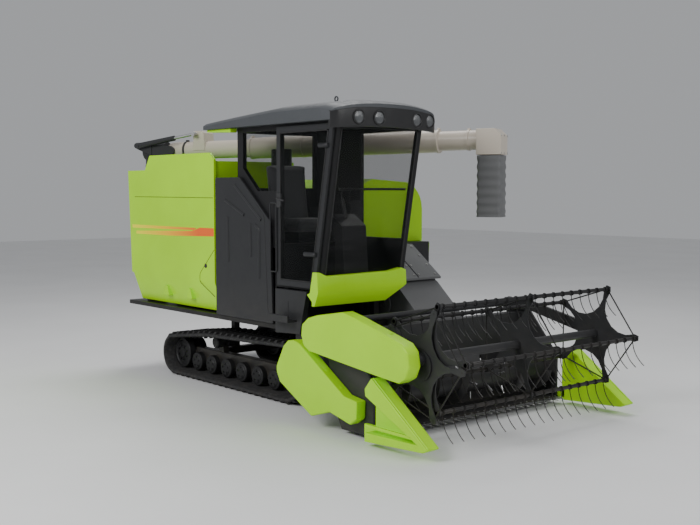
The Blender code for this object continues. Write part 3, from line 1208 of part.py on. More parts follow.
def reel_bats(finish):
    low, high, star_y = reel_span()
    crank_y = star_y - 0.012
    for index in range(BAT_COUNT):
        x, z = bat_centre(index)
        bar = cross_rod(x, z, crank_y, high, BAT_RADIUS, 10)
        crank = prism("Y", rounded_bar((x, z), (x + CAM_SHIFT[0], z + CAM_SHIFT[1]), 0.022, 0.016, 5),
                      crank_y, crank_y + 0.006)
        pin = cross_rod(x + CAM_SHIFT[0], z + CAM_SHIFT[1], low + 0.005, crank_y + 0.003, CRANK_PIN, 10)
        tines = []
        first = star_y + 0.05
        for number in range(TINE_COUNT):
            y = first + number * (high - first - 0.05) / (TINE_COUNT - 1)
            path = [(x, y, z), (x + 0.2 * TINE_REACH, y, z - 0.5 * TINE_DROP), (x + TINE_REACH, y, z - TINE_DROP)]
            tines.append(tube(path, TINE_SIZE, 0))
        fuse(bar, crank, pin, gather(tines))
        name_piece(bar, "reel_bat_%d" % (index + 1), "bat_%d" % (index + 1), finish)


def reel_cylinder_y():
    return arm_sides()[0] + ARM_THICK + eye_half(REEL_BARREL) + 0.01


def lift_cylinders(dark, steel):
    foot = Vector((LIFT_FOOT[0], LIFT_CYLINDER_Y, LIFT_FOOT[1]))
    eye = Vector((LIFT_EYE[0], LIFT_CYLINDER_Y, LIFT_EYE[1]))
    cylinder(foot, eye, LIFT_BARREL, 0.62, 0.25, lambda piece: piece, ("lift_cylinder_barrel", "lift_barrel"),
             ("lift_cylinder_rod", "lift_rod"), (dark, steel))
    side_y = reel_cylinder_y()
    foot = Vector((REEL_FOOT[0], side_y, REEL_FOOT[1]))
    eye = Vector((REEL_EYE[0], side_y, REEL_EYE[1]))
    cylinder(foot, eye, REEL_BARREL, 0.68, 0.25, lambda piece: piece, ("reel_cylinder_barrel", "reel_barrel"),
             ("reel_cylinder_rod", "reel_rod"), (dark, steel))


# ---------------------------------------------------------------- assembly
def joint_axes():
    add_body("chassis", (0.0, 0.0, 0.0))
    add_body("cab_door", (pillar_x(1.8) - 0.02, BODY_RIGHT_Y, 1.8), "chassis")
    add_body("engine_door", (BAY_REAR_X + 0.01, BODY_RIGHT_Y, DECK_Z), "chassis")
    add_body("pipe_slew", (POST_X, POST_Y, POST_TOP_Z), "chassis")
    add_body("pipe_lift", pipe_point(PIPE_HINGE, 0.0, pipe_z(PIPE_HINGE)), "pipe_slew")
    add_body("pipe_barrel", pipe_point(BARREL_FOOT[0], CYL_SIDE, BARREL_FOOT[1]), "pipe_slew")
    add_body("pipe_rod", pipe_point(ROD_EYE[0], CYL_SIDE, ROD_EYE[1]), "pipe_barrel")
    add_body("header", (FEEDER_X, HEADER_MID_Y, FEEDER_Z), "chassis")
    add_body("auger", (AUGER_X, HEADER_MID_Y, AUGER_Z), "header")
    add_body("reel_arms", (ARM_PIVOT_X, HEADER_MID_Y, ARM_PIVOT_Z), "header")
    add_body("reel", (REEL_X, HEADER_MID_Y, REEL_Z), "reel_arms")
    add_body("cam_star", (REEL_X + CAM_SHIFT[0], HEADER_MID_Y, REEL_Z + CAM_SHIFT[1]), "reel_arms")
    for index in range(BAT_COUNT):
        x, z = bat_centre(index)
        add_body("bat_%d" % (index + 1), (x, HEADER_MID_Y, z), "reel")
    add_body("lift_barrel", (LIFT_FOOT[0], LIFT_CYLINDER_Y, LIFT_FOOT[1]), "chassis")
    add_body("lift_rod", (LIFT_EYE[0], LIFT_CYLINDER_Y, LIFT_EYE[1]), "lift_barrel")
    add_body("reel_barrel", (REEL_FOOT[0], reel_cylinder_y(), REEL_FOOT[1]), "header")
    add_body("reel_rod", (REEL_EYE[0], reel_cylinder_y(), REEL_EYE[1]), "reel_barrel")


def main():
    global collection
    clear_scene()
    collection = bpy.data.collections.new("combine_harvester")
    bpy.context.scene.collection.children.link(collection)
    machine = bpy.data.objects.new("machine", None)
    collection.objects.link(machine)
    machine.location = (-ORIGIN_X, -ORIGIN_Y, 0.0)
    joint_axes()
    bodies["chassis"].parent = machine

    lime = material("lime_paint", LIME, 0.35)
    dark = material("dark_grey_paint", DARK, 0.45)
    black = material("black_paint", BLACK, 0.5)
    grey = material("light_grey_paint", GREY, 0.45)
    beige = material("beige_paint", BEIGE, 0.45)
    steel = material("bare_steel", STEEL, 0.3, 1.0)
    rubber = material("track_rubber", BLACK, 0.9)
    iron = material("cast_iron", DARK, 0.7, 0.6)
    glass = material("cab_glass", (0.1, 0.1, 0.1), 0.05, 0.0, 0.3)
    fabric = material("seat_cloth", BLACK, 0.95)
    plastic = material("chute_plastic", GREY, 0.6)
    roof = material("roof_plastic", (0.11, 0.12, 0.125), 0.5)

    chassis_frame(black)
    tracks(black, rubber)
    drive_gearbox(iron)
    grain_tank(lime)
    tank_side_panel(lime)
    elevator_post(dark)
    engine_bay(black, iron, black)
    engine_side_panel(dark)
    cab(black, glass)
    cab_door(dark, glass)
    cab_roof(roof)
    seat(black, fabric)
    consoles(black)
    front_bumper(lime)
    cab_steps(dark)
    threshing_unit(dark, lime, dark, grey)
    unloading_pipe(beige, dark, plastic, steel)
    feeder_house(grey)
    header_frame(dark)
    cutter_bar(steel)
    header_auger(dark)
    dividers(lime)
    drive_covers(lime)
    reel_arms(dark)
    reel(dark)
    cam_star(dark)
    reel_bats(dark)
    lift_cylinders(dark, steel)


main()
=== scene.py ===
"""A compact combine harvester on two rubber tracks: finishes, fittings and fine shapes on its frame."""
import json
import math

import bmesh
import bpy
from mathutils import Matrix, Vector

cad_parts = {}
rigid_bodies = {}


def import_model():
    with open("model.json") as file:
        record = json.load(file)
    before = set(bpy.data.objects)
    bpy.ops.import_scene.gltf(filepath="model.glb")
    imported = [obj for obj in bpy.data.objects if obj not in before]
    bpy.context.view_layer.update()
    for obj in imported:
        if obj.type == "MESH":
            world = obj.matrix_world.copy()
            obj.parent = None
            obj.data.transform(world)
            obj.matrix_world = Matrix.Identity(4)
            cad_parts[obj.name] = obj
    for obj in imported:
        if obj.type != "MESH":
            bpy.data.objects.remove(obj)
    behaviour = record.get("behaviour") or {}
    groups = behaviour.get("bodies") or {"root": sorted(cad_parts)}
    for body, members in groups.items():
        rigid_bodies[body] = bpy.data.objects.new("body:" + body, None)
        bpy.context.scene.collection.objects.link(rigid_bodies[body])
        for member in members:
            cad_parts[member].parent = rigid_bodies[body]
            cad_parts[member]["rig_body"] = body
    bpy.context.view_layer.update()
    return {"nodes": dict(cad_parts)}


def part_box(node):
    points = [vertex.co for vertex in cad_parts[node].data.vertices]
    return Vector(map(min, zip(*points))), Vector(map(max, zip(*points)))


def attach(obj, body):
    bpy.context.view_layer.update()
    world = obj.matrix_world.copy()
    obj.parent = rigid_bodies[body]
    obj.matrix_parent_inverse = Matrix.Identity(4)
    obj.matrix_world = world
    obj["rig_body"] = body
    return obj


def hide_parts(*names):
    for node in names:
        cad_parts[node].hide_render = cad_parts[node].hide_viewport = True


# ---------------------------------------------------------------- places and sizes, in metres
# Drawings here use the machine's own datum; SHIFT moves it under the middle of the machine.
SHIFT = Vector((-0.119, 0.014, 0.0))

RIGHT_SIDE_Y = -0.966
LEFT_SIDE_Y = 0.96
MIDDLE_Y = -0.014

# Wheels inside the belt: x, z and the radius that the belt's lug tips have round them.
REAR_IDLER = (-1.755, 0.225, 0.225)
FRONT_ROLLER = (0.20, 0.20, 0.20)
DRIVE_WHEEL = (0.62, 0.375, 0.205)
CARRIERS = ((0.135, 0.447, 0.125), (-1.12, 0.403, 0.125))
BELT_WHEELS = (REAR_IDLER, FRONT_ROLLER, DRIVE_WHEEL) + CARRIERS
TRACK_Y = (-0.62, 0.54)
TRACK_WIDTH = 0.45
BELT_STEPS = 320
BELT_THICK = 0.035
LUG_COUNT = 60
LUG_HEIGHT = 0.028
LUG_ROOT = LUG_HEIGHT + 0.0037
LUG_TALL = 0.0315
BELT_INSIDE = LUG_HEIGHT + BELT_THICK
WHEEL_PLAY = 0.005              # between a wheel's rim and the belt's inner face
WHEEL_HALF = 0.11
ROLLER_X = [-1.48 + 0.27 * step for step in range(7)]
ROLLER_Z = BELT_INSIDE + 0.099
DRIVE_TEETH = 14

PILLAR_LOW = (0.845, 1.20)      # x and z of the leaning front pillars' front face, low and high
PILLAR_HIGH = (1.08, 2.50)
CAB_MIDDLE_Y = -0.435
ROOF_HALF = 0.595
ROOF_REAR_X = -0.82
ROOF_TOP_Z = 2.689
LAMP_Z = 2.53
LAMP_Y = (-0.773, -0.565, -0.128, 0.041)

PIPE_POST = (-2.27, -0.72)
PIPE_HEADING = math.radians(26.7)
PIPE_LENGTH = 3.72
PIPE_START_Z = 2.345
PIPE_RISE = 0.06
PIPE_THIN = 0.093
PIPE_THICK = 0.108
CHUTE_TOP_Z = 2.254
CHUTE_DROP = 0.574
CHUTE_STEPS = 48

HEADER_LOW_Y = -1.114
HEADER_HIGH_Y = 1.086
DIVIDER_OUT = 1.2495            # outer face of the dividers, from the machine's middle
AUGER = (1.54, 0.30)            # x and z of the axis
AUGER_RADIUS = 0.10
FLIGHT_RADIUS = 0.18
FLIGHT_PITCH = 0.34
GUARD_COUNT = 28

REEL = (2.20, 0.70)             # x and z of the axis
REEL_RADIUS = 0.41
BAT_COUNT = 5
BAT_RADIUS = 0.016
BAT_START_Y = -1.042
BAT_END_Y = 1.026
TINE_COUNT = 18
TINES_FROM_Y = -0.98
TINES_TO_Y = 0.976
CAM_SHIFT = (-0.015, -0.052)    # the cam star's axis, seen from the reel's
CAM_PIN_START_Y = -1.059

WORLD_UP = Vector((0.0, 0.0, 1.0))


# ---------------------------------------------------------------- procedural finishes
class Finish:
    """Builds one material node by node, reading the piece's own Object coordinates."""

    def __init__(self, name):
        self.material = bpy.data.materials.new(name)
        self.material.use_nodes = True
        self.tree = self.material.node_tree
        self.shader = self.tree.nodes["Principled BSDF"]
        self.coords = self.tree.nodes.new("ShaderNodeTexCoord").outputs["Object"]

    def node(self, kind, **settings):
        made = self.tree.nodes.new(kind)
        for key, value in settings.items():
            setattr(made, key, value)
        return made

    def link(self, source, target):
        self.tree.links.new(source, target)

    def stretched(self, scale):
        mapping = self.node("ShaderNodeMapping")
        mapping.inputs["Scale"].default_value = scale
        self.link(self.coords, mapping.inputs["Vector"])
        return mapping.outputs["Vector"]

    def noise(self, scale, detail=4.0, rough=0.5, stretch=(1, 1, 1)):
        made = self.node("ShaderNodeTexNoise")
        made.inputs["Scale"].default_value = scale
        made.inputs["Detail"].default_value = detail
        made.inputs["Roughness"].default_value = rough
        self.link(self.stretched(stretch), made.inputs["Vector"])
        return made.outputs["Fac"]

    def remap(self, source, low, high, to_low, to_high):
        made = self.node("ShaderNodeMapRange")
        made.inputs["From Min"].default_value = low
        made.inputs["From Max"].default_value = high
        made.inputs["To Min"].default_value = to_low
        made.inputs["To Max"].default_value = to_high
        self.link(source, made.inputs["Value"])
        return made.outputs["Result"]

    def times(self, first, second):
        made = self.node("ShaderNodeMath", operation="MULTIPLY")
        self.link(first, made.inputs[0])
        if isinstance(second, float):
            made.inputs[1].default_value = second
        else:
            self.link(second, made.inputs[1])
        return made.outputs[0]

    def blend(self, factor, first, second):
        made = self.node("ShaderNodeMix", data_type="RGBA")
        self.link(factor, made.inputs["Factor"])
        for socket, value in ((made.inputs[6], first), (made.inputs[7], second)):
            if isinstance(value, tuple):
                socket.default_value = value + (1.0,)
            else:
                self.link(value, socket)
        return made.outputs[2]

    def place(self):
        """The three parts of the place on the piece: x, y and height."""
        made = self.node("ShaderNodeSeparateXYZ")
        self.link(self.coords, made.inputs[0])
        return made.outputs

    def bump(self, source, strength, distance, under=None):
        made = self.node("ShaderNodeBump")
        made.inputs["Strength"].default_value = strength
        made.inputs["Distance"].default_value = distance
        self.link(source, made.inputs["Height"])
        if under is not None:
            self.link(under, made.inputs["Normal"])
        return made.outputs["Normal"]

    def set(self, **values):
        for key, value in values.items():
            socket = self.shader.inputs[key.replace("_", " ")]
            if hasattr(value, "links"):
                self.link(value, socket)
            else:
                socket.default_value = value
        return self.material


def tone(colour, factor):
    """A lighter or darker tone of a colour."""
    return tuple(min(1.0, part * factor) for part in colour)


def paint(name, colour, roughness, coat, dust=0.25, grain=0.12):
    """Sprayed paint: slow colour drift, faint orange peel, and field dust that is thicker near the ground."""
    finish = Finish(name)
    drift = finish.remap(finish.noise(1.7, 5.0), 0.3, 0.7, 0.0, 1.0)
    body = finish.blend(drift, tone(colour, 0.93), tone(colour, 1.05))
    specks = finish.remap(finish.noise(46.0, 6.0, 0.65), 0.62, 0.78, 0.0, 0.35)
    body = finish.blend(specks, body, tone(colour, 0.80))
    low = finish.remap(finish.place()[2], 0.10, 1.15, dust, 0.0)
    cloud = finish.remap(finish.noise(5.0, 6.0, 0.6, (1.0, 1.0, 2.2)), 0.38, 0.72, 0.15, 1.0)
    dusty = finish.times(low, cloud)
    shade = finish.blend(dusty, body, (0.30, 0.25, 0.18))
    peel = finish.noise(420.0, 2.0)
    sheen = finish.remap(finish.noise(9.0, 5.0), 0.3, 0.7, roughness - 0.06, roughness + 0.08)
    normal = finish.bump(peel, grain, 0.0004)
    return finish.set(Base_Color=shade, Roughness=sheen, Normal=normal, Coat_Weight=coat,
                      Coat_Roughness=0.12, Specular_IOR_Level=0.28)


def moulded(name, colour, roughness):
    """Moulded plastic with a fine leather grain and slightly worn, lighter high spots."""
    finish = Finish(name)
    drift = finish.remap(finish.noise(3.0, 4.0), 0.3, 0.7, 0.0, 1.0)
    body = finish.blend(drift, tone(colour, 0.94), tone(colour, 1.06))
    cells = finish.node("ShaderNodeTexVoronoi", feature="F1")
    cells.inputs["Scale"].default_value = 380.0
    finish.link(finish.coords, cells.inputs["Vector"])
    sheen = finish.remap(finish.noise(12.0, 4.0), 0.3, 0.7, roughness - 0.05, roughness + 0.07)
    normal = finish.bump(cells.outputs["Distance"], 0.18, 0.0006)
    return finish.set(Base_Color=body, Roughness=sheen, Normal=normal)


def track_rubber():
    """Black rubber with random grey patches, partly scuffs and partly painted highlight, and dried soil near
    the ground.
    """
    finish = Finish("track_rubber")
    # Grey patches: partly scuffs, partly painted highlight laid at random over the rubber.
    scuffs_and_highlight = finish.remap(finish.noise(24.0, 8.0, 0.7), 0.45, 0.72, 0.0, 0.55)
    body = finish.blend(scuffs_and_highlight, (0.018, 0.018, 0.019), (0.085, 0.084, 0.082))
    low = finish.remap(finish.place()[2], 0.0, 0.30, 0.16, 0.02)
    soil = finish.times(low, finish.remap(finish.noise(11.0, 7.0, 0.7), 0.42, 0.66, 0.0, 1.0))
    shade = finish.blend(soil, body, (0.11, 0.085, 0.058))
    first = finish.bump(finish.noise(260.0, 3.0), 0.35, 0.0008)
    normal = finish.bump(finish.noise(30.0, 6.0, 0.7), 0.30, 0.004, first)
    return finish.set(Base_Color=shade, Roughness=0.82, Normal=normal)


def bare_steel(name, colour, roughness):
    """Ground steel with long brushed lines and a few darker patches."""
    finish = Finish(name)
    lines = finish.noise(60.0, 3.0, 0.6, (1.0, 1.0, 18.0))
    patches = finish.remap(finish.noise(7.0, 6.0), 0.35, 0.7, 0.0, 0.5)
    shade = finish.blend(patches, colour, tone(colour, 0.6))
    sheen = finish.remap(lines, 0.3, 0.7, roughness - 0.08, roughness + 0.12)
    normal = finish.bump(lines, 0.12, 0.0004)
    return finish.set(Base_Color=shade, Roughness=sheen, Metallic=1.0, Normal=normal)


def casting(name, colour):
    """Sand-cast iron under thin paint: pitted, oily and rough."""
    finish = Finish(name)
    pits = finish.noise(95.0, 5.0, 0.7)
    oil = finish.remap(finish.noise(8.0, 5.0), 0.4, 0.7, 0.0, 0.8)
    shade = finish.blend(oil, colour, tone(colour, 0.45))
    sheen = finish.remap(oil, 0.0, 1.0, 0.66, 0.38)
    normal = finish.bump(pits, 0.4, 0.0016)
    return finish.set(Base_Color=shade, Roughness=sheen, Metallic=0.3, Normal=normal)


def tinted_glass():
    """Lightly tinted safety glass with faint wipe marks in its gloss."""
    finish = Finish("cab_glass")
    smears = finish.remap(finish.noise(6.0, 5.0, 0.6, (1.0, 1.0, 0.3)), 0.35, 0.75, 0.015, 0.07)
    made = finish.set(Base_Color=(0.012, 0.014, 0.014, 1.0), Roughness=smears, Alpha=0.16, IOR=1.35)
    made.blend_method = "BLEND"
    return made


def seat_cloth():
    """Plain woven seat cloth: two crossed sets of threads, seen as tiny ribs and a soft sheen."""
    finish = Finish("seat_cloth")
    warp = finish.node("ShaderNodeTexWave", wave_type="BANDS", bands_direction="X")
    weft = finish.node("ShaderNodeTexWave", wave_type="BANDS", bands_direction="Y")
    for wave in (warp, weft):
        wave.inputs["Scale"].default_value = 260.0
        wave.inputs["Distortion"].default_value = 0.6
        finish.link(finish.coords, wave.inputs["Vector"])
    weave = finish.times(warp.outputs["Fac"], weft.outputs["Fac"])
    fade = finish.remap(finish.noise(7.0, 4.0), 0.3, 0.7, 0.0, 1.0)
    body = finish.blend(fade, (0.040, 0.040, 0.043), (0.060, 0.060, 0.064))
    shade = finish.blend(weave, tone((0.05, 0.05, 0.054), 0.7), body)
    normal = finish.bump(weave, 0.5, 0.0012)
    return finish.set(Base_Color=shade, Roughness=0.92, Normal=normal, Sheen_Weight=0.35)


def stripe_paint():
    """Side stripe: pale yellow at the back, turning to orange at the front."""
    finish = Finish("stripe_paint")
    ramp = finish.node("ShaderNodeValToRGB")
    ramp.color_ramp.elements[0].position = 0.0
    ramp.color_ramp.elements[0].color = (0.98, 0.92, 0.0, 1.0)
    ramp.color_ramp.elements[1].position = 1.0
    ramp.color_ramp.elements[1].color = (0.95, 0.13, 0.0, 1.0)
    middle = ramp.color_ramp.elements.new(0.55)
    middle.color = (1.0, 0.52, 0.0, 1.0)
    finish.link(finish.remap(finish.place()[0], -2.45, -1.15, 0.0, 1.0), ramp.inputs["Fac"])
    grain = finish.bump(finish.noise(420.0, 2.0), 0.1, 0.0004)
    return finish.set(Base_Color=ramp.outputs["Color"], Roughness=0.35, Normal=grain, Coat_Weight=0.3)


def lamp_lens(name, colour):
    """Lamp lens with fine vertical flutes, darkened in bands along them as painted shade."""
    finish = Finish(name)
    flutes = finish.node("ShaderNodeTexWave", wave_type="BANDS", bands_direction="Y")
    flutes.inputs["Scale"].default_value = 90.0
    finish.link(finish.coords, flutes.inputs["Vector"])
    grooves = flutes.outputs["Fac"]
    # The darker bands that follow the flutes are painted shade along their relief.
    shade = finish.blend(finish.remap(grooves, 0.0, 1.0, 0.0, 0.6), colour, tone(colour, 0.6))
    normal = finish.bump(grooves, 0.4, 0.001)
    return finish.set(Base_Color=shade, Roughness=0.12, Normal=normal, Coat_Weight=0.6)


def seal_rubber():
    """Soft black rubber of seals and seams, and the black of the entry wall's slot, which is painted shade.
    """
    finish = Finish("seal_rubber")
    drift = finish.remap(finish.noise(30.0, 4.0), 0.3, 0.7, 0.0, 1.0)
    shade = finish.blend(drift, (0.012, 0.012, 0.013), (0.026, 0.026, 0.027))
    normal = finish.bump(finish.noise(300.0, 2.0), 0.25, 0.0005)
    return finish.set(Base_Color=shade, Roughness=0.7, Normal=normal)


# ---------------------------------------------------------------- shapes
def put_in_scene(name, data):
    """A new object in the scene that shows a mesh, a light or a camera."""
    obj = bpy.data.objects.new(name, data)
    bpy.context.scene.collection.objects.link(obj)
    return obj


def as_mesh(shape, name):
    """Keeps a drawn shape as a mesh and lets go of the drawing."""
    mesh = bpy.data.meshes.new(name)
    shape.to_mesh(mesh)
    shape.free()
    return mesh


def as_plain_mesh(obj):
    """What an object looks like with its modifiers, as a mesh of its own."""
    graph = bpy.context.evaluated_depsgraph_get()
    return bpy.data.meshes.new_from_object(obj.evaluated_get(graph), depsgraph=graph)


def join_rings(shape, rings, loop=False):
    """Skins a row of rings; a loop joins the last ring to the first, otherwise both ends are closed."""
    for before, after in zip(rings, rings[1:] + rings[:1] if loop else rings[1:]):
        for corner in range(len(before)):
            following = (corner + 1) % len(before)
            shape.faces.new((before[corner], before[following], after[following], after[corner]))
    if not loop:
        shape.faces.new(list(reversed(rings[0])))
        shape.faces.new(rings[-1])
    return shape


def round_spots(x, z, radius, count, first=0.0):
    """Evenly spaced spots on a circle that faces sideways."""
    angles = [2 * math.pi * step / count + first for step in range(count)]
    return [(x + radius * math.cos(angle), z + radius * math.sin(angle)) for angle in angles]


def arc_spots(x, z, radius, start, turn, steps):
    """Spots along part of a circle, both ends kept."""
    angles = [start + turn * step / steps for step in range(steps + 1)]
    return [(x + radius * math.cos(angle), z + radius * math.sin(angle)) for angle in angles]


def add_outline(shape, axis, outline, low, high):
    """A flat outline given depth along an axis: X takes (y, z), Y takes (x, z), Z takes (x, y)."""
    def corner(point, depth):
        first, second = point
        if axis == "X":
            return (depth, first, second)
        if axis == "Y":
            return (first, depth, second)
        return (first, second, depth)
    back = [shape.verts.new(corner(point, low)) for point in outline]
    front = [shape.verts.new(corner(point, high)) for point in outline]
    shape.faces.new(back)
    shape.faces.new(list(reversed(front)))
    count = len(outline)
    for index in range(count):
        after = (index + 1) % count
        shape.faces.new((back[index], front[index], front[after], back[after]))
    return shape


def add_box(shape, low, high):
    """A square block between two corners."""
    outline = [(low[0], low[2]), (high[0], low[2]), (high[0], high[2]), (low[0], high[2])]
    return add_outline(shape, "Y", outline, low[1], high[1])


def across(way):
    """Two directions square to a way and to each other."""
    way = Vector(way).normalized()
    helper = WORLD_UP if abs(way.z) < 0.9 else Vector((1.0, 0.0, 0.0))
    first = way.cross(helper).normalized()
    return first, way.cross(first).normalized()


def add_turned(shape, start, way, profile, sides=32):
    """A turned piece: profile is (distance along, radius), closed at both ends."""
    start = Vector(start)
    way = Vector(way).normalized()
    first, second = across(way)
    rings = []
    for along, radius in profile:
        ring = []
        for side in range(sides):
            angle = 2 * math.pi * side / sides
            out = first * math.cos(angle) + second * math.sin(angle)
            ring.append(shape.verts.new(start + way * along + out * radius))
        rings.append(ring)
    return join_rings(shape, rings)


def add_rod(shape, start, end, radius, sides=16):
    """A round rod between two points."""
    start = Vector(start)
    end = Vector(end)
    return add_turned(shape, start, end - start, [(0.0, radius), ((end - start).length, radius)], sides)


def rounded_path(points, radius, steps=5):
    """A path whose corners are rounded."""
    points = [Vector(point) for point in points]
    made = [points[0]]
    for before, here, after in zip(points, points[1:], points[2:]):
        reach = min(radius, (before - here).length / 2.1, (after - here).length / 2.1)
        start = here + (before - here).normalized() * reach
        end = here + (after - here).normalized() * reach
        for step in range(steps + 1):
            share = step / steps
            made.append(start.lerp(here, share).lerp(here.lerp(end, share), share))
    made.append(points[-1])
    return made


def add_tube(shape, points, radius, sides=12, bend=0.04):
    """A bent tube along a path, closed at both ends."""
    path = rounded_path(points, bend)
    rings = []
    first = None
    for index, here in enumerate(path):
        before = path[max(0, index - 1)]
        after = path[min(len(path) - 1, index + 1)]
        way = (after - before).normalized()
        if first is None:
            first, _ = across(way)
        first = (first - way * first.dot(way)).normalized()
        second = way.cross(first)
        ring = []
        for side in range(sides):
            angle = 2 * math.pi * side / sides
            out = first * math.cos(angle) + second * math.sin(angle)
            ring.append(shape.verts.new(here + out * radius))
        rings.append(ring)
    return join_rings(shape, rings)


def finish_piece(obj, finish, body, bevel=0.0, angle=0.6, replaced=()):
    """Gives an object its finish, broken edges and shading, and rides it on its body."""
    obj.data.materials.clear()
    obj.data.materials.append(finish)
    if bevel:
        edge = obj.modifiers.new("edge", "BEVEL")
        edge.width = bevel
        edge.segments = 2
        edge.limit_method = "ANGLE"
        edge.angle_limit = angle
        edge.use_clamp_overlap = True
        even = obj.modifiers.new("even", "WEIGHTED_NORMAL")
        even.keep_sharp = True
    for face in obj.data.polygons:
        face.use_smooth = True
    if not bevel:
        obj.data.set_sharp_from_angle(angle=angle)
    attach(obj, body)
    if replaced:
        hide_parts(*replaced)
    return obj


def piece(name, shape, finish, body, bevel=0.0, angle=0.6, replaced=()):
    """A shape drawn from the machine's datum, as a finished piece riding on a body."""
    bmesh.ops.translate(shape, verts=shape.verts, vec=SHIFT)
    bmesh.ops.recalc_face_normals(shape, faces=shape.faces)
    obj = put_in_scene(name, as_mesh(shape, name))
    return finish_piece(obj, finish, body, bevel, angle, replaced)


def dressed(node, finish, body, bevel):
    """A copy of a frame part with its triangles merged into panels and its edges broken."""
    shape = bmesh.new()
    shape.from_mesh(frame["nodes"][node].data)
    bmesh.ops.remove_doubles(shape, verts=shape.verts, dist=0.00005)
    bmesh.ops.dissolve_limit(shape, angle_limit=0.02, verts=shape.verts, edges=shape.edges)
    bmesh.ops.recalc_face_normals(shape, faces=shape.faces)
    obj = put_in_scene(node + "_body", as_mesh(shape, node + "_body"))
    return finish_piece(obj, finish, body, bevel, replaced=(node,))


# ---------------------------------------------------------------- repeated fittings, grown by geometry nodes
def start_tree(name, sizes):
    """A new tree with its places, its named sizes and its finish as inputs."""
    tree = bpy.data.node_groups.new(name, "GeometryNodeTree")
    tree.interface.new_socket("Places", in_out="INPUT", socket_type="NodeSocketGeometry")
    for size, value in sizes.items():
        socket = tree.interface.new_socket(size, in_out="INPUT", socket_type="NodeSocketFloat")
        socket.default_value = value
    tree.interface.new_socket("Finish", in_out="INPUT", socket_type="NodeSocketMaterial")
    tree.interface.new_socket("Fittings", in_out="OUTPUT", socket_type="NodeSocketGeometry")
    return tree


def add_node(tree, kind, **inputs):
    """A node whose inputs are filled by a value, or by a wire where another node's output is given."""
    made = tree.nodes.new(kind)
    for label, value in inputs.items():
        socket = made.inputs[label.replace("_", " ")]
        if hasattr(value, "links"):
            tree.links.new(value, socket)
        else:
            socket.default_value = value
    return made


def scaled(tree, source, factor):
    """A given size times a fixed factor."""
    made = tree.nodes.new("ShaderNodeMath")
    made.operation = "MULTIPLY"
    made.inputs[1].default_value = factor
    tree.links.new(source, made.inputs[0])
    return made.outputs[0]


def joined(tree, *meshes):
    """Several parts of a fitting as one."""
    both = tree.nodes.new("GeometryNodeJoinGeometry")
    for mesh in meshes:
        tree.links.new(mesh, both.inputs[0])
    return both.outputs[0]


def repeat_tree(name, sizes, make_one):
    """Sets one fitting on every place, turned by the place's facing and along directions."""
    tree = start_tree(name, sizes)
    given = tree.nodes.new("NodeGroupInput").outputs
    result = tree.nodes.new("NodeGroupOutput")
    one = make_one(tree, given)
    ways = []
    for label in ("facing", "along"):
        reader = add_node(tree, "GeometryNodeInputNamedAttribute", Name=label)
        reader.data_type = "FLOAT_VECTOR"
        ways.append(reader.outputs["Attribute"])
    turn = add_node(tree, "FunctionNodeAxesToRotation", Primary_Axis=ways[0], Secondary_Axis=ways[1])
    turn.primary_axis = "Z"
    turn.secondary_axis = "X"
    spread = add_node(tree, "GeometryNodeInstanceOnPoints", Points=given["Places"], Instance=one,
                      Rotation=turn.outputs["Rotation"])
    real = add_node(tree, "GeometryNodeRealizeInstances", Geometry=spread.outputs["Instances"])
    coat = add_node(tree, "GeometryNodeSetMaterial", Geometry=real.outputs["Geometry"],
                    Material=given["Finish"])
    tree.links.new(coat.outputs["Geometry"], result.inputs["Fittings"])
    return tree


def grow(name, tree, places, finish, body, slot, **sizes):
    """Runs a tree on places (point, facing, along), and keeps the result as a plain mesh on a body."""
    mesh = bpy.data.meshes.new(name + "_places")
    mesh.from_pydata([tuple(Vector(place[0]) + SHIFT) for place in places], [], [])
    for label, column in (("facing", 1), ("along", 2)):
        stored = mesh.attributes.new(label, "FLOAT_VECTOR", "POINT")
        for index, place in enumerate(places):
            stored.data[index].vector = Vector(place[column])
    holder = put_in_scene(name + "_places", mesh)
    modifier = holder.modifiers.new("fittings", "NODES")
    modifier.node_group = tree
    for item in tree.interface.items_tree:
        if item.in_out != "INPUT" or item.name == "Places":
            continue
        if item.name == "Finish":
            modifier[item.identifier] = finish
        elif item.name in sizes:
            modifier[item.identifier] = sizes[item.name]
    made = as_plain_mesh(holder)
    made.name = name
    holder.modifiers.clear()
    bpy.data.objects.remove(holder, do_unlink=True)
    bpy.data.meshes.remove(mesh)
    return finish_piece(put_in_scene(name, made), finish, body)


def hex_bolt(tree, given):
    """Hexagon head on a round washer."""
    radius, height = given["Radius"], given["Height"]
    head = add_node(tree, "GeometryNodeMeshCylinder", Vertices=6, Radius=radius, Depth=height)
    washer = add_node(tree, "GeometryNodeMeshCylinder", Vertices=16,
                      Radius=scaled(tree, radius, 1.45), Depth=scaled(tree, height, 0.5))
    return joined(tree, washer.outputs["Mesh"], head.outputs["Mesh"])


def tapered_finger(tree, given):
    """Pointed guard finger lying along the place's facing direction."""
    cone = add_node(tree, "GeometryNodeMeshCone", Vertices=8, Radius_Top=given["Tip"],
                    Radius_Bottom=given["Root"], Depth=given["Length"])
    return cone.outputs["Mesh"]


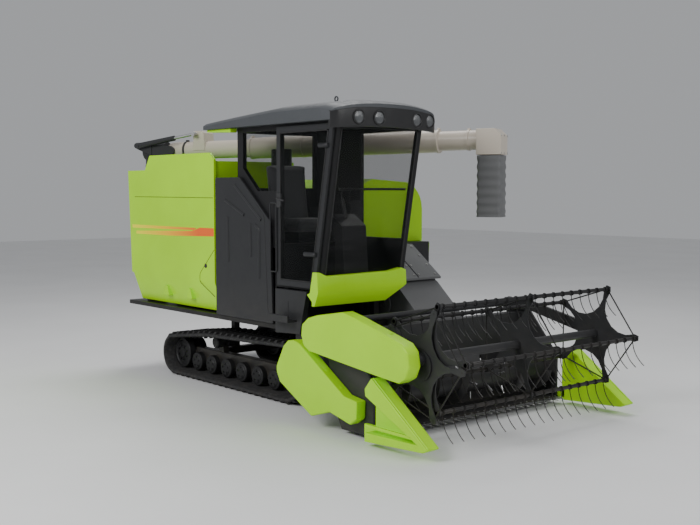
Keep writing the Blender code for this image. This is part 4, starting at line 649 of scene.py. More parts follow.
def spring_tine(tree, given):
    """Wire tine with a coil at its root: it drops, then sweeps forward to its tip."""
    middle = add_node(tree, "ShaderNodeCombineXYZ", Z=scaled(tree, given["Drop"], -0.62))
    tip = add_node(tree, "ShaderNodeCombineXYZ", X=given["Reach"], Z=scaled(tree, given["Drop"], -1.0))
    bend = add_node(tree, "GeometryNodeCurveQuadraticBezier", Resolution=10, Start=(0.0, 0.0, 0.0),
                    Middle=middle.outputs[0], End=tip.outputs[0])
    coil = add_node(tree, "GeometryNodeCurveSpiral", Resolution=12, Rotations=2.5, Height=0.018,
                    Start_Radius=given["Coil"], End_Radius=given["Coil"])
    lay = add_node(tree, "GeometryNodeTransform", Geometry=coil.outputs["Curve"],
                   Rotation=(math.pi / 2, 0.0, 0.0), Translation=(0.0, 0.009, 0.0))
    section = add_node(tree, "GeometryNodeCurvePrimitiveCircle", Resolution=6, Radius=given["Wire"])
    skins = []
    for path in (bend.outputs["Curve"], lay.outputs["Geometry"]):
        skin = add_node(tree, "GeometryNodeCurveToMesh", Curve=path, Profile_Curve=section.outputs["Curve"],
                        Fill_Caps=True)
        skins.append(skin.outputs["Mesh"])
    return joined(tree, *skins)


def tapered_block(tree, given):
    """Block that narrows towards its top, as a moulded lug does."""
    cone = add_node(tree, "GeometryNodeMeshCone", Vertices=4, Radius_Bottom=0.7071, Radius_Top=0.50,
                    Depth=1.0)
    square = add_node(tree, "GeometryNodeTransform", Geometry=cone.outputs["Mesh"],
                      Rotation=(0.0, 0.0, math.pi / 4))
    size = add_node(tree, "ShaderNodeCombineXYZ", X=given["Length"], Y=given["Width"], Z=given["Height"])
    grown = add_node(tree, "GeometryNodeTransform", Geometry=square.outputs["Geometry"],
                     Scale=size.outputs[0])
    return grown.outputs["Geometry"]


# ---------------------------------------------------------------- the frame and its finishes
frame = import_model()

LIME = paint("lime_enamel", (0.44, 0.86, 0.0), 0.38, 0.08, 0.05)
DARK = paint("dark_grey_enamel", (0.026, 0.0268, 0.029), 0.46, 0.05, 0.10)
LIGHT = paint("light_grey_enamel", (0.13, 0.132, 0.135), 0.42, 0.05, 0.10)
BLACK = paint("black_enamel", (0.010, 0.010, 0.011), 0.45, 0.05, 0.14)
BEIGE = paint("beige_enamel", (0.56, 0.50, 0.42), 0.38, 0.20, 0.0)
CHUTE = moulded("chute_sleeve", (0.13, 0.132, 0.135), 0.62)
ROOF = moulded("roof_moulding", (0.060, 0.065, 0.072), 0.50)
VISOR = moulded("visor_moulding", (0.014, 0.014, 0.015), 0.38)
TRIM = moulded("cab_trim", (0.028, 0.028, 0.03), 0.55)
RUBBER = track_rubber()
SEAL = seal_rubber()
IRON = casting("cast_iron_enamel", (0.018, 0.018, 0.019))
STEEL = bare_steel("bare_steel_ground", (0.52, 0.52, 0.53), 0.32)
ZINC = bare_steel("zinc_plate", (0.42, 0.42, 0.41), 0.42)
GLASS = tinted_glass()
CLOTH = seat_cloth()
STRIPE = stripe_paint()
LENS = lamp_lens("work_lamp_lens", (0.10, 0.105, 0.11))

SLOT_FINISH = {
    "black_paint": BLACK, "track_rubber": RUBBER, "cast_iron": IRON, "dark_grey_paint": DARK,
    "lime_paint": LIME, "light_grey_paint": LIGHT, "beige_paint": BEIGE, "chute_plastic": CHUTE,
    "roof_plastic": ROOF, "cab_glass": GLASS, "seat_cloth": CLOTH, "bare_steel": STEEL,
}

BOLTS = repeat_tree("hex_bolts", {"Radius": 0.008, "Height": 0.006}, hex_bolt)
LUGS = repeat_tree("tread_lugs", {"Length": 0.05, "Width": 0.2, "Height": 0.03}, tapered_block)
FINGERS = repeat_tree("fingers", {"Root": 0.009, "Tip": 0.002, "Length": 0.1}, tapered_finger)
TINES = repeat_tree("spring_tines", {"Drop": 0.2, "Reach": 0.1, "Wire": 0.003, "Coil": 0.02}, spring_tine)

RIGHT = (0.0, -1.0, 0.0)
FORWARD = (1.0, 0.0, 0.0)
UP = (0.0, 0.0, 1.0)
LEFT = (0.0, 1.0, 0.0)


def slot_of(node):
    """The finish slot that a frame part has."""
    return frame["nodes"][node].data.materials[0].name.split(".")[0]


def bolts_on(name, places, body, radius, height, finish=ZINC):
    """Hexagon bolts with washers at the places."""
    grow(name, BOLTS, places, finish, body, "bare_steel", Radius=radius, Height=height)


# ---------------------------------------------------------------- tracks
def on_arc(centre, radius, start, turn):
    """Gives the spots of a part of the belt that lies round a wheel."""
    def spot(share, inset):
        angle = start + turn * share
        out = Vector((math.cos(angle), math.sin(angle)))
        return Vector(centre) + out * (radius - inset), out
    return spot


def on_straight(first, last, out):
    """Gives the spots of a straight part of the belt."""
    def spot(share, inset):
        return first.lerp(last, share) - out * inset, out
    return spot


def belt_path():
    """Outer line of the belt round its wheels, as runs: the length of each, and what gives its spots."""
    pairs = list(zip(BELT_WHEELS, BELT_WHEELS[1:] + BELT_WHEELS[:1]))
    normals = []
    for (x, z, radius), (next_x, next_z, next_radius) in pairs:
        way = Vector((next_x - x, next_z - z))
        lean = math.asin((radius - next_radius) / way.length)
        normals.append(math.atan2(way.y, way.x) - math.pi / 2 + lean)
    runs = []
    for index, ((x, z, radius), (next_x, next_z, next_radius)) in enumerate(pairs):
        start = normals[index - 1]
        turn = (normals[index] - start) % (2 * math.pi)
        runs.append((turn * radius, on_arc((x, z), radius, start, turn)))
        out = Vector((math.cos(normals[index]), math.sin(normals[index])))
        first = Vector((x, z)) + out * radius
        last = Vector((next_x, next_z)) + out * next_radius
        runs.append(((last - first).length, on_straight(first, last, out)))
    return runs


def belt_place(runs, distance, inset):
    """A point of the belt and the way it faces there."""
    left = distance % sum(length for length, _ in runs)
    for length, spot in runs:
        if left <= length:
            return spot(left / length, inset)
        left -= length
    return belt_place(runs, 0.0, inset)


def belt_spot(runs, distance, mid_y, inset, inwards=False):
    """A place on the belt for a lug: its point, the way that it faces, and the way along the belt."""
    point, out = belt_place(runs, distance, inset)
    if inwards:
        out = -out
    return (point.x, mid_y, point.y), (out.x, 0.0, out.y), (-out.y, 0.0, out.x)


def add_track(side, mid_y):
    """Belt of one track, with its lugs outside and its guide teeth inside."""
    runs = belt_path()
    total = sum(length for length, _ in runs)
    add_belt(side, mid_y, runs, total)
    outer = []
    middle = []
    guides = []
    for step in range(LUG_COUNT):
        for share, offset in ((0.0, -0.135), (0.5, 0.135)):
            along = total * (step + share) / LUG_COUNT
            between = total * (step + share + 0.2) / LUG_COUNT
            outer.append(belt_spot(runs, along, mid_y + offset, LUG_ROOT))
            middle.append(belt_spot(runs, between, mid_y + offset * 0.30, LUG_ROOT))
        guides.append(belt_spot(runs, total * step / LUG_COUNT, mid_y, BELT_INSIDE - 0.002, inwards=True))
    for name, places, length, width, height in (
        ("side_lugs_", outer, 0.042, 0.178, LUG_TALL),
        ("middle_lugs_", middle, 0.034, 0.10, LUG_TALL),
        ("guide_teeth_", guides, 0.038, 0.034, 0.032),
    ):
        grow(name + side, LUGS, places, RUBBER, "chassis", "track_rubber",
             Length=length, Width=width, Height=height)


def add_belt(side, mid_y, runs, total):
    """Closed rubber belt with bevelled edges, swept along its path."""
    shape = bmesh.new()
    half = TRACK_WIDTH / 2
    edge = LUG_HEIGHT + 0.022
    section = [(-half, LUG_HEIGHT), (-half + 0.012, LUG_HEIGHT - 0.006), (half - 0.012, LUG_HEIGHT - 0.006),
               (half, LUG_HEIGHT), (half, edge), (half - 0.03, BELT_INSIDE), (-half + 0.03, BELT_INSIDE),
               (-half, edge)]
    rings = []
    for step in range(BELT_STEPS):
        ring = []
        for across_belt, inset in section:
            point, _ = belt_place(runs, total * step / BELT_STEPS, inset)
            ring.append(shape.verts.new((point.x, mid_y + across_belt, point.y)))
        rings.append(ring)
    join_rings(shape, rings, loop=True)
    piece("belt_" + side, shape, RUBBER, "chassis", replaced=("track_" + side,), angle=0.5)


def add_roller_beam(side, mid_y):
    """Beam that holds the rollers, the idler's fork and the carriers' posts."""
    beam = bmesh.new()
    for half, outline in (
        (0.045, [(-1.58, 0.16), (-1.54, 0.14), (0.10, 0.14), (0.14, 0.17), (0.14, 0.30), (-1.58, 0.30)]),
        (0.040, [(REAR_IDLER[0], 0.19), (-1.50, 0.19), (-1.50, 0.26), (REAR_IDLER[0], 0.26)]),
    ):
        add_outline(beam, "Y", outline, mid_y - half, mid_y + half)
    for x, z, _ in CARRIERS:
        add_outline(beam, "Y", [(x - 0.05, 0.27), (x + 0.05, 0.27), (x + 0.028, z), (x - 0.028, z)],
                    mid_y - 0.035, mid_y + 0.035)
    piece("roller_beam_" + side, beam, BLACK, "chassis", bevel=0.005,
          replaced=("rollers_" + side,))


# Profile of each wheel inside the belt: distance along its axis, radius.
def track_roller():
    return [(0.0, 0.03), (0.0, 0.062), (0.006, 0.07), (0.008, 0.088), (0.014, 0.094), (0.075, 0.094),
            (0.082, 0.086), (0.086, 0.058), (0.134, 0.058), (0.138, 0.086), (0.145, 0.094), (0.206, 0.094),
            (0.212, 0.088), (0.214, 0.07), (0.22, 0.062), (0.22, 0.03)]


def carrier_roller(rim):
    return [(0.0, 0.02), (0.0, 0.045), (0.008, rim), (0.085, rim), (0.09, 0.042), (0.13, 0.042),
            (0.135, rim), (0.212, rim), (0.22, 0.045), (0.22, 0.02)]


def front_roller():
    return [(0.0, 0.03), (0.0, 0.09), (0.006, 0.10), (0.010, 0.125), (0.016, 0.131), (0.075, 0.131),
            (0.085, 0.08), (0.135, 0.08), (0.145, 0.131), (0.204, 0.131), (0.21, 0.125), (0.214, 0.10),
            (0.22, 0.09), (0.22, 0.03)]


def rear_idler(rim):
    return [(0.0, 0.02), (0.0, 0.05), (0.012, 0.055), (0.014, 0.12), (0.003, 0.13), (0.003, rim - 0.004),
            (0.008, rim), (0.075, rim), (0.085, 0.11), (0.135, 0.11), (0.145, rim), (0.212, rim),
            (0.217, rim - 0.004), (0.217, 0.13), (0.206, 0.12), (0.208, 0.055), (0.22, 0.05), (0.22, 0.02)]


def add_rollers(side, mid_y):
    """Track rollers, carriers, front roller and rear idler under one track, with their bolts."""
    add_roller_beam(side, mid_y)
    wheels = bmesh.new()
    turned = [(x, ROLLER_Z, track_roller(), 36) for x in ROLLER_X]
    turned += [(x, z, carrier_roller(radius - BELT_INSIDE - WHEEL_PLAY), 32) for x, z, radius in CARRIERS]
    turned.append((*FRONT_ROLLER[:2], front_roller(), 40))
    turned.append((*REAR_IDLER[:2], rear_idler(REAR_IDLER[2] - BELT_INSIDE - WHEEL_PLAY), 48))
    for x, z, profile, sides in turned:
        add_turned(wheels, (x, mid_y - WHEEL_HALF, z), LEFT, profile, sides)
    piece("wheels_" + side, wheels, IRON, "chassis", angle=0.5)
    outer_face = -1 if side == "right" else 1
    bolt_y = mid_y + outer_face * (WHEEL_HALF + 0.001)
    places = []
    for x, z, ring, count in [(*REAR_IDLER[:2], 0.075, 8), (*FRONT_ROLLER[:2], 0.06, 6)] + [
            (x, ROLLER_Z, 0.047, 5) for x in ROLLER_X]:
        for bolt_x, bolt_z in round_spots(x, z, ring, count, 0.3):
            places.append(((bolt_x, bolt_y, bolt_z), (0, outer_face, 0), FORWARD))
    bolts_on("wheel_bolts_" + side, places, "chassis", 0.007, 0.012, IRON)


def add_drive():
    """Toothed drive wheels, axle housing and gearbox."""
    x, z, belt_radius = DRIVE_WHEEL
    tip = belt_radius - LUG_HEIGHT - BELT_THICK - 0.004
    root = tip - 0.028
    outline = []
    for tooth in range(DRIVE_TEETH):
        for share, radius in ((0.0, tip), (0.22, tip), (0.34, root), (0.86, root)):
            angle = 2 * math.pi * (tooth + share) / DRIVE_TEETH
            outline.append((x + radius * math.cos(angle), z + radius * math.sin(angle)))
    wheels = bmesh.new()
    places = []
    for mid_y in TRACK_Y:
        for offset in (-0.040, 0.016):
            add_outline(wheels, "Y", outline, mid_y + offset, mid_y + offset + 0.024)
        add_turned(wheels, (x, mid_y - 0.075, z), LEFT,
                   [(0.0, 0.03), (0.0, 0.052), (0.012, 0.060), (0.03, 0.062), (0.03, 0.082), (0.12, 0.082),
                    (0.12, 0.062), (0.15, 0.052), (0.15, 0.03)], 36)
        facing = -1 if mid_y < 0 else 1
        for bolt_x, bolt_z in round_spots(x, z, 0.071, 10):
            places.append(((bolt_x, mid_y + facing * 0.046, bolt_z), (0, facing, 0), FORWARD))
    piece("drive_wheels", wheels, IRON, "chassis", bevel=0.003, replaced=("drive_gearbox",))
    case = bmesh.new()
    add_turned(case, (x, -0.60, z), LEFT,
               [(0.0, 0.055), (0.30, 0.055), (0.33, 0.07), (0.36, 0.085), (0.37, 0.12), (0.58, 0.12),
                (0.60, 0.085), (0.64, 0.07), (0.67, 0.055), (1.12, 0.055)], 32)
    add_outline(case, "Y", [(0.47, 0.30), (0.50, 0.28), (0.70, 0.28), (0.72, 0.31), (0.72, 0.50),
                            (0.66, 0.56), (0.47, 0.56)], -0.235, 0.015)
    add_outline(case, "Y", [(0.51, 0.55), (0.61, 0.55), (0.61, 0.63), (0.51, 0.63)], -0.19, -0.03)
    piece("gearbox_case", case, IRON, "chassis", bevel=0.006)
    bolts_on("drive_bolts", places, "chassis", 0.006, 0.012, IRON)


# ---------------------------------------------------------------- body panels
def strip(name, points, radius, finish, body, bend):
    """One round strip, such as a seal, along a path."""
    return piece(name, add_tube(bmesh.new(), points, radius, 8, bend), finish, body)


def side_line(points, y=RIGHT_SIDE_Y):
    """A line drawn on the machine's right side."""
    return [(x, y, z) for x, z in points]


def add_side_ribs():
    """Pressed ribs on the engine's side panel."""
    ribs = bmesh.new()
    for points in (
        [(-0.395, 1.979), (0.029, 1.665)],
        [(-0.552, 1.839), (-0.235, 1.705)],
        [(-0.512, 1.684), (-0.504, 1.262)],
        [(-0.142, 1.631), (-0.133, 1.327)],
        [(-0.063, 1.617), (0.002, 1.582), (-0.003, 1.138)],
    ):
        add_tube(ribs, side_line(points, RIGHT_SIDE_Y + 0.008), 0.018, 16, 0.05)
    piece("side_panel_ribs", ribs, DARK, "engine_door")


def add_side_seams():
    """Seams between the tank's panels and at the edge of the engine's side panel."""
    seams = bmesh.new()
    for points in (
        [(-0.747, 1.36), (-1.007, 1.12), (-1.009, 1.038), (-0.741, 0.912)],
        [(-2.30, 1.862), (-0.76, 1.858)],
    ):
        add_tube(seams, side_line(points), 0.0028, 6, 0.03)
    piece("tank_panel_seams", seams, SEAL, "chassis")
    edge = add_tube(bmesh.new(), side_line([(-0.312, 2.048), (0.08, 1.696), (0.135, 0.78)]), 0.0026, 6, 0.03)
    piece("side_panel_seams", edge, SEAL, "engine_door")


def add_tank_latch():
    """Round quarter-turn latch in the tank's lower panel."""
    x, z = -0.899, 1.20
    latch = bmesh.new()
    add_turned(latch, (x, RIGHT_SIDE_Y + 0.004, z), RIGHT,
               [(0.0, 0.010), (0.0, 0.022), (0.006, 0.022), (0.010, 0.018), (0.011, 0.010)], 24)
    add_box(latch, (x - 0.011, RIGHT_SIDE_Y - 0.012, z - 0.003), (x + 0.011, RIGHT_SIDE_Y - 0.005, z + 0.003))
    piece("panel_latches", latch, TRIM, "chassis", bevel=0.001)


def add_gussets():
    """Pressed gussets low on the tank's sloping skirt."""
    gussets = bmesh.new()
    for x in (-1.69, -1.24):
        add_outline(gussets, "Y", [(x - 0.05, 0.86), (x + 0.05, 0.85), (x + 0.02, 0.95), (x - 0.02, 0.955)],
                    RIGHT_SIDE_Y + 0.016, RIGHT_SIDE_Y + 0.075)
    piece("skirt_gussets", gussets, LIME, "chassis", bevel=0.004)


def add_stripes():
    """Two tapering stripes along the tank."""
    stripes = bmesh.new()
    for outline in (
        [(-2.36, 1.53), (-1.12, 1.54), (-1.06, 1.562), (-2.367, 1.565)],
        [(-2.28, 1.468), (-1.574, 1.47), (-0.75, 1.49), (-0.75, 1.567), (-1.0, 1.567), (-1.15, 1.53),
         (-2.276, 1.50)],
    ):
        add_outline(stripes, "Y", outline, RIGHT_SIDE_Y - 0.0012, RIGHT_SIDE_Y + 0.0005)
    piece("side_stripes", stripes, STRIPE, "chassis")


def add_entry_wall():
    """Raised strip round the wall beside the door, and under it a thin black plate that paints the shade of a
    slot in the wall.
    """
    back, front, low, high = 0.185, 0.275, 1.215, 1.82
    loop = [(back, low), (front, low), (front, high), (back, high), (back, low)]
    rim = add_tube(bmesh.new(), side_line(loop, RIGHT_SIDE_Y - 0.008), 0.007, 12, 0.02)
    piece("entry_strip", rim, DARK, "chassis")
    # The slot is a thin black plate on the wall: painted shade standing for the opening.
    slot = bmesh.new()
    add_box(slot, (0.452, RIGHT_SIDE_Y - 0.0215, 0.86), (0.466, RIGHT_SIDE_Y - 0.0195, 0.97))
    piece("entry_wall_slot_shade", slot, SEAL, "chassis", bevel=0.0006)


def add_left_side():
    """Seams and catches of the left cover."""
    seams = bmesh.new()
    for x in (-1.55, -0.62):
        add_tube(seams, [(x, LEFT_SIDE_Y, 0.80), (x, LEFT_SIDE_Y, 1.38)], 0.003, 6)
    piece("left_cover_seams", seams, SEAL, "chassis")
    catches = bmesh.new()
    for x in (-2.0, -1.1, -0.2):
        add_outline(catches, "Y", [(x - 0.03, 1.20), (x + 0.03, 1.20), (x + 0.026, 1.25), (x - 0.026, 1.25)],
                    LEFT_SIDE_Y - 0.002, LEFT_SIDE_Y + 0.006)
        add_rod(catches, (x - 0.018, LEFT_SIDE_Y + 0.008, 1.222), (x + 0.018, LEFT_SIDE_Y + 0.008, 1.222),
                0.005, 12)
    piece("left_cover_catches", catches, TRIM, "chassis", bevel=0.002)


def add_feeder_dress():
    """Middle seam and rows of bolts down the sloping feeder cover."""
    seams = bmesh.new()
    add_tube(seams, [(0.36, 0.315, 1.408), (0.74, 0.315, 1.125)], 0.004, 6)
    piece("feeder_seam", seams, SEAL, "chassis")
    places = []
    facing = tuple(Vector((0.6, 0.0, 0.8)).normalized())
    for share in (0.08, 0.36, 0.64, 0.92):
        for y in (0.075, 0.285, 0.345, 0.555):
            places.append(((0.355 + share * 0.385, y, 1.412 - share * 0.287), facing, (0, 1, 0)))
    bolts_on("feeder_bolts", places, "chassis", 0.008, 0.008)


# ---------------------------------------------------------------- cab
def pillar_front(z):
    """Where the leaning front pillars' front face is at a height."""
    (low_x, low_z), (high_x, high_z) = PILLAR_LOW, PILLAR_HIGH
    return low_x + (z - low_z) / (high_z - low_z) * (high_x - low_x)


def add_door_fittings():
    """Seal round the door's glass, hinge pads on the leaning pillar, and the latch with its lever."""
    low, high, back = 1.155, 2.425, 0.325
    hole = [(back, low), (pillar_front(low) - 0.075, low), (pillar_front(high) - 0.075, high), (back, high)]
    loop = side_line(hole + hole[:1], RIGHT_SIDE_Y - 0.001)
    strip("door_seal", loop, 0.006, SEAL, "cab_door", 0.03)
    pads = bmesh.new()
    for front, rear, z in ((1.0, 0.88, 2.30), (0.835, 0.68, 1.39)):
        length = front - rear
        add_turned(pads, (front, RIGHT_SIDE_Y - 0.010, z), (-1.0, 0.0, 0.0),
                   [(0.0, 0.008), (0.0, 0.017), (0.006, 0.021), (length - 0.006, 0.021), (length, 0.017),
                    (length, 0.008)], 24)
    piece("door_hinge_pads", pads, DARK, "cab_door")
    latch = bmesh.new()
    add_outline(latch, "Y", [(0.285, 1.78), (0.335, 1.78), (0.345, 1.80), (0.345, 1.90), (0.285, 1.91)],
                RIGHT_SIDE_Y - 0.014, RIGHT_SIDE_Y + 0.004)
    lever_y = RIGHT_SIDE_Y - 0.034
    add_tube(latch, [(0.30, RIGHT_SIDE_Y - 0.01, 1.86), (0.31, lever_y, 1.86), (0.42, lever_y, 1.84)],
             0.008, 10, 0.02)
    piece("door_latch", latch, TRIM, "cab_door", bevel=0.002)


def add_windshield_fittings():
    """Seal round the windshield, and the grab rail behind it."""
    low, high, right, left = 1.206, 2.449, -0.885, -0.025
    corners = ((low, right), (low, left), (high, left), (high, right), (low, right))
    loop = [(pillar_front(z) - 0.001, y, z) for z, y in corners]
    strip("windshield_seal", loop, 0.007, SEAL, "chassis", 0.04)
    rail_z = 1.94
    x = pillar_front(rail_z) - 0.05
    rail = bmesh.new()
    add_tube(rail, [(x + 0.02, -0.83, rail_z), (x, -0.80, rail_z), (x, -0.10, rail_z),
                    (x + 0.02, -0.06, rail_z)], 0.011, 14)
    piece("grab_rail", rail, BLACK, "chassis")


def add_roof_lamps():
    """Four round lamps let into the visor."""
    bezels = bmesh.new()
    lenses = bmesh.new()
    for y in LAMP_Y:
        x = roof_front(y) + 0.003
        add_turned(bezels, (x - 0.03, y, LAMP_Z), FORWARD,
                   [(0.0, 0.064), (0.034, 0.066), (0.038, 0.062), (0.038, 0.054), (0.030, 0.050),
                    (0.030, 0.005)], 40)
        add_turned(lenses, (x - 0.001, y, LAMP_Z), FORWARD,
                   [(0.0, 0.03), (0.0, 0.050), (0.003, 0.048), (0.008, 0.030), (0.009, 0.010)], 40)
    piece("lamp_bezels", bezels, VISOR, "chassis")
    piece("lamp_lenses", lenses, LENS, "chassis")


def add_roof_edging():
    """Lime edging under the roof's rear right corner."""
    edging = bmesh.new()
    add_outline(edging, "Y", [(-0.80, 2.478), (-0.40, 2.462), (-0.40, 2.499), (-0.80, 2.499)], -1.0, -0.93)
    piece("roof_edging", edging, LIME, "chassis", bevel=0.003)


def roof_share(y):
    """How far out from the roof's middle a place is: 0 in the middle, 1 at the left edge, -1 at the right."""
    return (y - CAB_MIDDLE_Y) / ROOF_HALF


def roof_front(y):
    """Front line of the roof: bowed across, with its corners rounded back."""
    share = roof_share(y)
    corner = max(0.0, abs(share) - 0.86) / 0.14
    return 1.12 + 0.05 * (1 - share * share) - 0.035 * corner * corner


def roof_rear(y):
    """Rear line of the roof: square on the right, slanting forward on the left."""
    return ROOF_REAR_X if y < -0.30 else ROOF_REAR_X + 0.70 * (y + 0.30) / 0.46


def roof_top(share, y):
    """Height of the roof skin: a thin rear edge, a swelling crown and a rounded brow."""
    out = abs(roof_share(y))
    edge = 2.555 + 0.070 * min(1.0, share * 1.7)
    crown = 0.064
    if share < 0.55:
        crown *= math.sin(math.pi * min(1.0, 0.12 + share * 0.88)) ** 0.5
    brow = max(0.0, share - 0.90) / 0.10
    side = max(0.0, out - 0.90) / 0.10
    height = edge + crown * (1.0 - out ** 2.6) - 0.040 * brow * brow - 0.022 * side * side
    return min(height, ROOF_TOP_Z)


def add_roof_skin(columns=40, rows=28):
    """Moulded roof with a bowed nose, closed below, with a lifting eye on top."""
    shape = bmesh.new()
    top = []
    low = []
    for column in range(columns + 1):
        share = 1 - (1 - column / columns) ** 1.35
        upper_line = []
        lower_line = []
        for row in range(rows + 1):
            y = CAB_MIDDLE_Y - (ROOF_HALF - 0.0005) * math.cos(math.pi * row / rows)
            x = roof_rear(y) + share * (roof_front(y) - roof_rear(y))
            upper_line.append(shape.verts.new((x, y, roof_top(share, y))))
            lower_line.append(shape.verts.new((x, y, 2.501)))
        top.append(upper_line)
        low.append(lower_line)
    for sheet, flip in ((top, False), (low, True)):
        for before, after in zip(sheet, sheet[1:]):
            for row in range(rows):
                corners = (before[row], after[row], after[row + 1], before[row + 1])
                shape.faces.new(tuple(reversed(corners)) if flip else corners)
    for column in range(columns):
        for row in (0, rows):
            shape.faces.new((low[column][row], low[column + 1][row], top[column + 1][row], top[column][row]))
    for row in range(rows):
        for column in (0, columns):
            shape.faces.new((low[column][row], low[column][row + 1], top[column][row + 1], top[column][row]))
    eye_x = 0.45
    add_turned(shape, (eye_x, CAB_MIDDLE_Y, 2.665), UP,
               [(0.0, 0.012), (0.012, 0.024), (0.034, 0.024), (0.036, 0.012), (0.058, 0.011)], 20)
    ring = arc_spots(eye_x, 2.742, 0.021, 0.0, 2 * math.pi, 16)
    add_tube(shape, side_line(ring, CAB_MIDDLE_Y), 0.007, 10, 0.004)
    piece("roof_skin", shape, ROOF, "chassis", replaced=("cab_roof",), angle=0.7)


def add_visor(steps=32):
    """Dark panel set into the roof's bowed front."""
    visor = bmesh.new()
    rings = []
    for step in range(steps + 1):
        y = CAB_MIDDLE_Y + (ROOF_HALF - 0.003) * (-1 + 2 * step / steps)
        share = abs(roof_share(y))
        x = roof_front(y)
        behind = max(x - 0.030, 1.066)
        high = 2.622 - 0.050 * share ** 3
        low = 2.434 + 0.022 * (1 - share * share)
        section = ((x + 0.001, low), (x + 0.004, low + 0.01), (x + 0.004, high - 0.008), (x - 0.004, high),
                   (behind, high), (behind, low))
        rings.append([visor.verts.new((front, y, height)) for front, height in section])
    join_rings(visor, rings)
    piece("visor_panel", visor, VISOR, "chassis", angle=0.7)


def fine_skin(obj, size):
    """Remakes a seat part's mesh with small, even faces."""
    skin = obj.modifiers.new("skin", "REMESH")
    skin.mode = "VOXEL"
    skin.voxel_size = size
    remade = as_plain_mesh(obj)
    obj.modifiers.clear()
    obj.data = remade


def blow_up(obj, frames=14, reach=0.016):
    """Runs the cover as cloth with air inside, and lets no point move further than its reach."""
    starts = [vert.co.copy() for vert in obj.data.vertices]
    cover = obj.modifiers.new("cover", "CLOTH").settings
    cover.quality = 5
    cover.mass = 0.3
    cover.tension_stiffness = 18.0
    cover.compression_stiffness = 18.0
    cover.bending_stiffness = 0.6
    cover.use_pressure = True
    cover.uniform_pressure_force = 4.0
    cover.effector_weights.gravity = 0.0
    for step in range(1, frames + 1):
        bpy.context.scene.frame_set(step)
    blown = as_plain_mesh(obj)
    obj.modifiers.clear()
    for vert, start in zip(blown.vertices, starts):
        move = vert.co - start
        if move.length > reach:
            vert.co = start + move * (reach / move.length)
    obj.data = blown
    bpy.context.scene.frame_set(1)


def add_cushion(node, name):
    """Puts a padded cover on a seat part: a fine skin, blown up gently as cloth and then smoothed."""
    obj = put_in_scene(name, frame["nodes"][node].data.copy())
    low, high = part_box(node)
    centre = (low + high) / 2
    for vert in obj.data.vertices:
        vert.co = centre + (vert.co - centre) * 0.93
    fine_skin(obj, 0.006)
    blow_up(obj)
    shape = bmesh.new()
    shape.from_mesh(obj.data)
    for _ in range(14):
        bmesh.ops.smooth_vert(shape, verts=shape.verts, factor=0.5, use_axis_x=True, use_axis_y=True,
                              use_axis_z=True)
    shape.to_mesh(obj.data)
    shape.free()
    finish_piece(obj, CLOTH, "chassis", angle=3.0, replaced=(node,))


# ---------------------------------------------------------------- unloading pipe
def to_pipe(shape):
    """Turns a shape made along X at the post's axis onto the pipe's heading."""
    turn = Matrix.Translation((PIPE_POST[0], PIPE_POST[1], 0.0)) @ Matrix.Rotation(PIPE_HEADING, 4, "Z")
    bmesh.ops.transform(shape, matrix=turn, verts=shape.verts)
    return shape


def pipe_height(along):
    """Height of the pipe's middle line, which rises a little towards the spout."""
    return PIPE_START_Z + PIPE_RISE * along / PIPE_LENGTH


def add_pipe():
    """Long pipe with a rounded root, two step rings and the lug for its lift cylinder."""
    way = Vector((PIPE_LENGTH, 0.0, PIPE_RISE))
    shape = bmesh.new()
    start = 0.157
    add_turned(shape, (start, 0.0, pipe_height(start)), way,
               [(0.0, 0.012), (0.006, 0.04), (0.022, 0.064), (0.048, 0.084), (0.093, PIPE_THIN),
                (1.02, PIPE_THIN), (1.03, 0.104), (1.042, 0.104), (1.046, PIPE_THICK), (1.60, PIPE_THICK),
                (1.602, 0.112), (1.628, 0.112), (1.63, PIPE_THICK), (3.03, PIPE_THICK), (3.034, 0.104),
                (3.046, 0.104), (3.06, PIPE_THIN), (3.44, PIPE_THIN)], 56)
    root_z = pipe_height(0.25)
    add_outline(shape, "Y", [(0.53, root_z), (0.67, root_z), (0.655, 2.53), (0.63, 2.55), (0.545, 2.55),
                             (0.53, 2.53)], -0.10, 0.10)
    add_rod(shape, (0.57, -0.118, 2.515), (0.57, -0.09, 2.515), 0.02, 20)
    piece("unloading_pipe_body", to_pipe(shape), BEIGE, "pipe_lift",
          replaced=("unloading_pipe",))
    add_clamps("pipe_collar", DARK, (0.40,), way)
    add_clamps("pipe_clamps", BEIGE, (1.19, 3.20, 3.50), way)


def add_clamps(name, finish, places, way):
    """Clamp rings round the pipe, each with its closing lug on top."""
    clamps = bmesh.new()
    half = 0.012
    for along in places:
        radius = PIPE_THIN if along < 1.0 or along > 3.3 else PIPE_THICK
        middle = pipe_height(along)
        add_turned(clamps, (along - half, 0.0, middle), way,
                   [(0.0, radius), (0.001, radius + 0.006), (0.023, radius + 0.006), (0.024, radius)], 56)
        add_box(clamps, (along - half, -0.018, middle + radius + 0.002),
                (along + half, 0.018, middle + radius + 0.018))
    piece(name, to_pipe(clamps), finish, "pipe_lift", bevel=0.001)


def chute_ring(sleeve, half, z, corner_radius=0.03):
    """One level of the square sleeve, with its four corners rounded."""
    ring = []
    for corner_x, corner_y, start in ((1, 1, 0), (-1, 1, 90), (-1, -1, 180), (1, -1, 270)):
        for turn in (0, 30, 60, 90):
            angle = math.radians(start + turn)
            x = PIPE_LENGTH + corner_x * (half - corner_radius) + corner_radius * math.cos(angle)
            y = corner_y * (half - corner_radius) + corner_radius * math.sin(angle)
            ring.append(sleeve.verts.new((x, y, z)))
    return ring


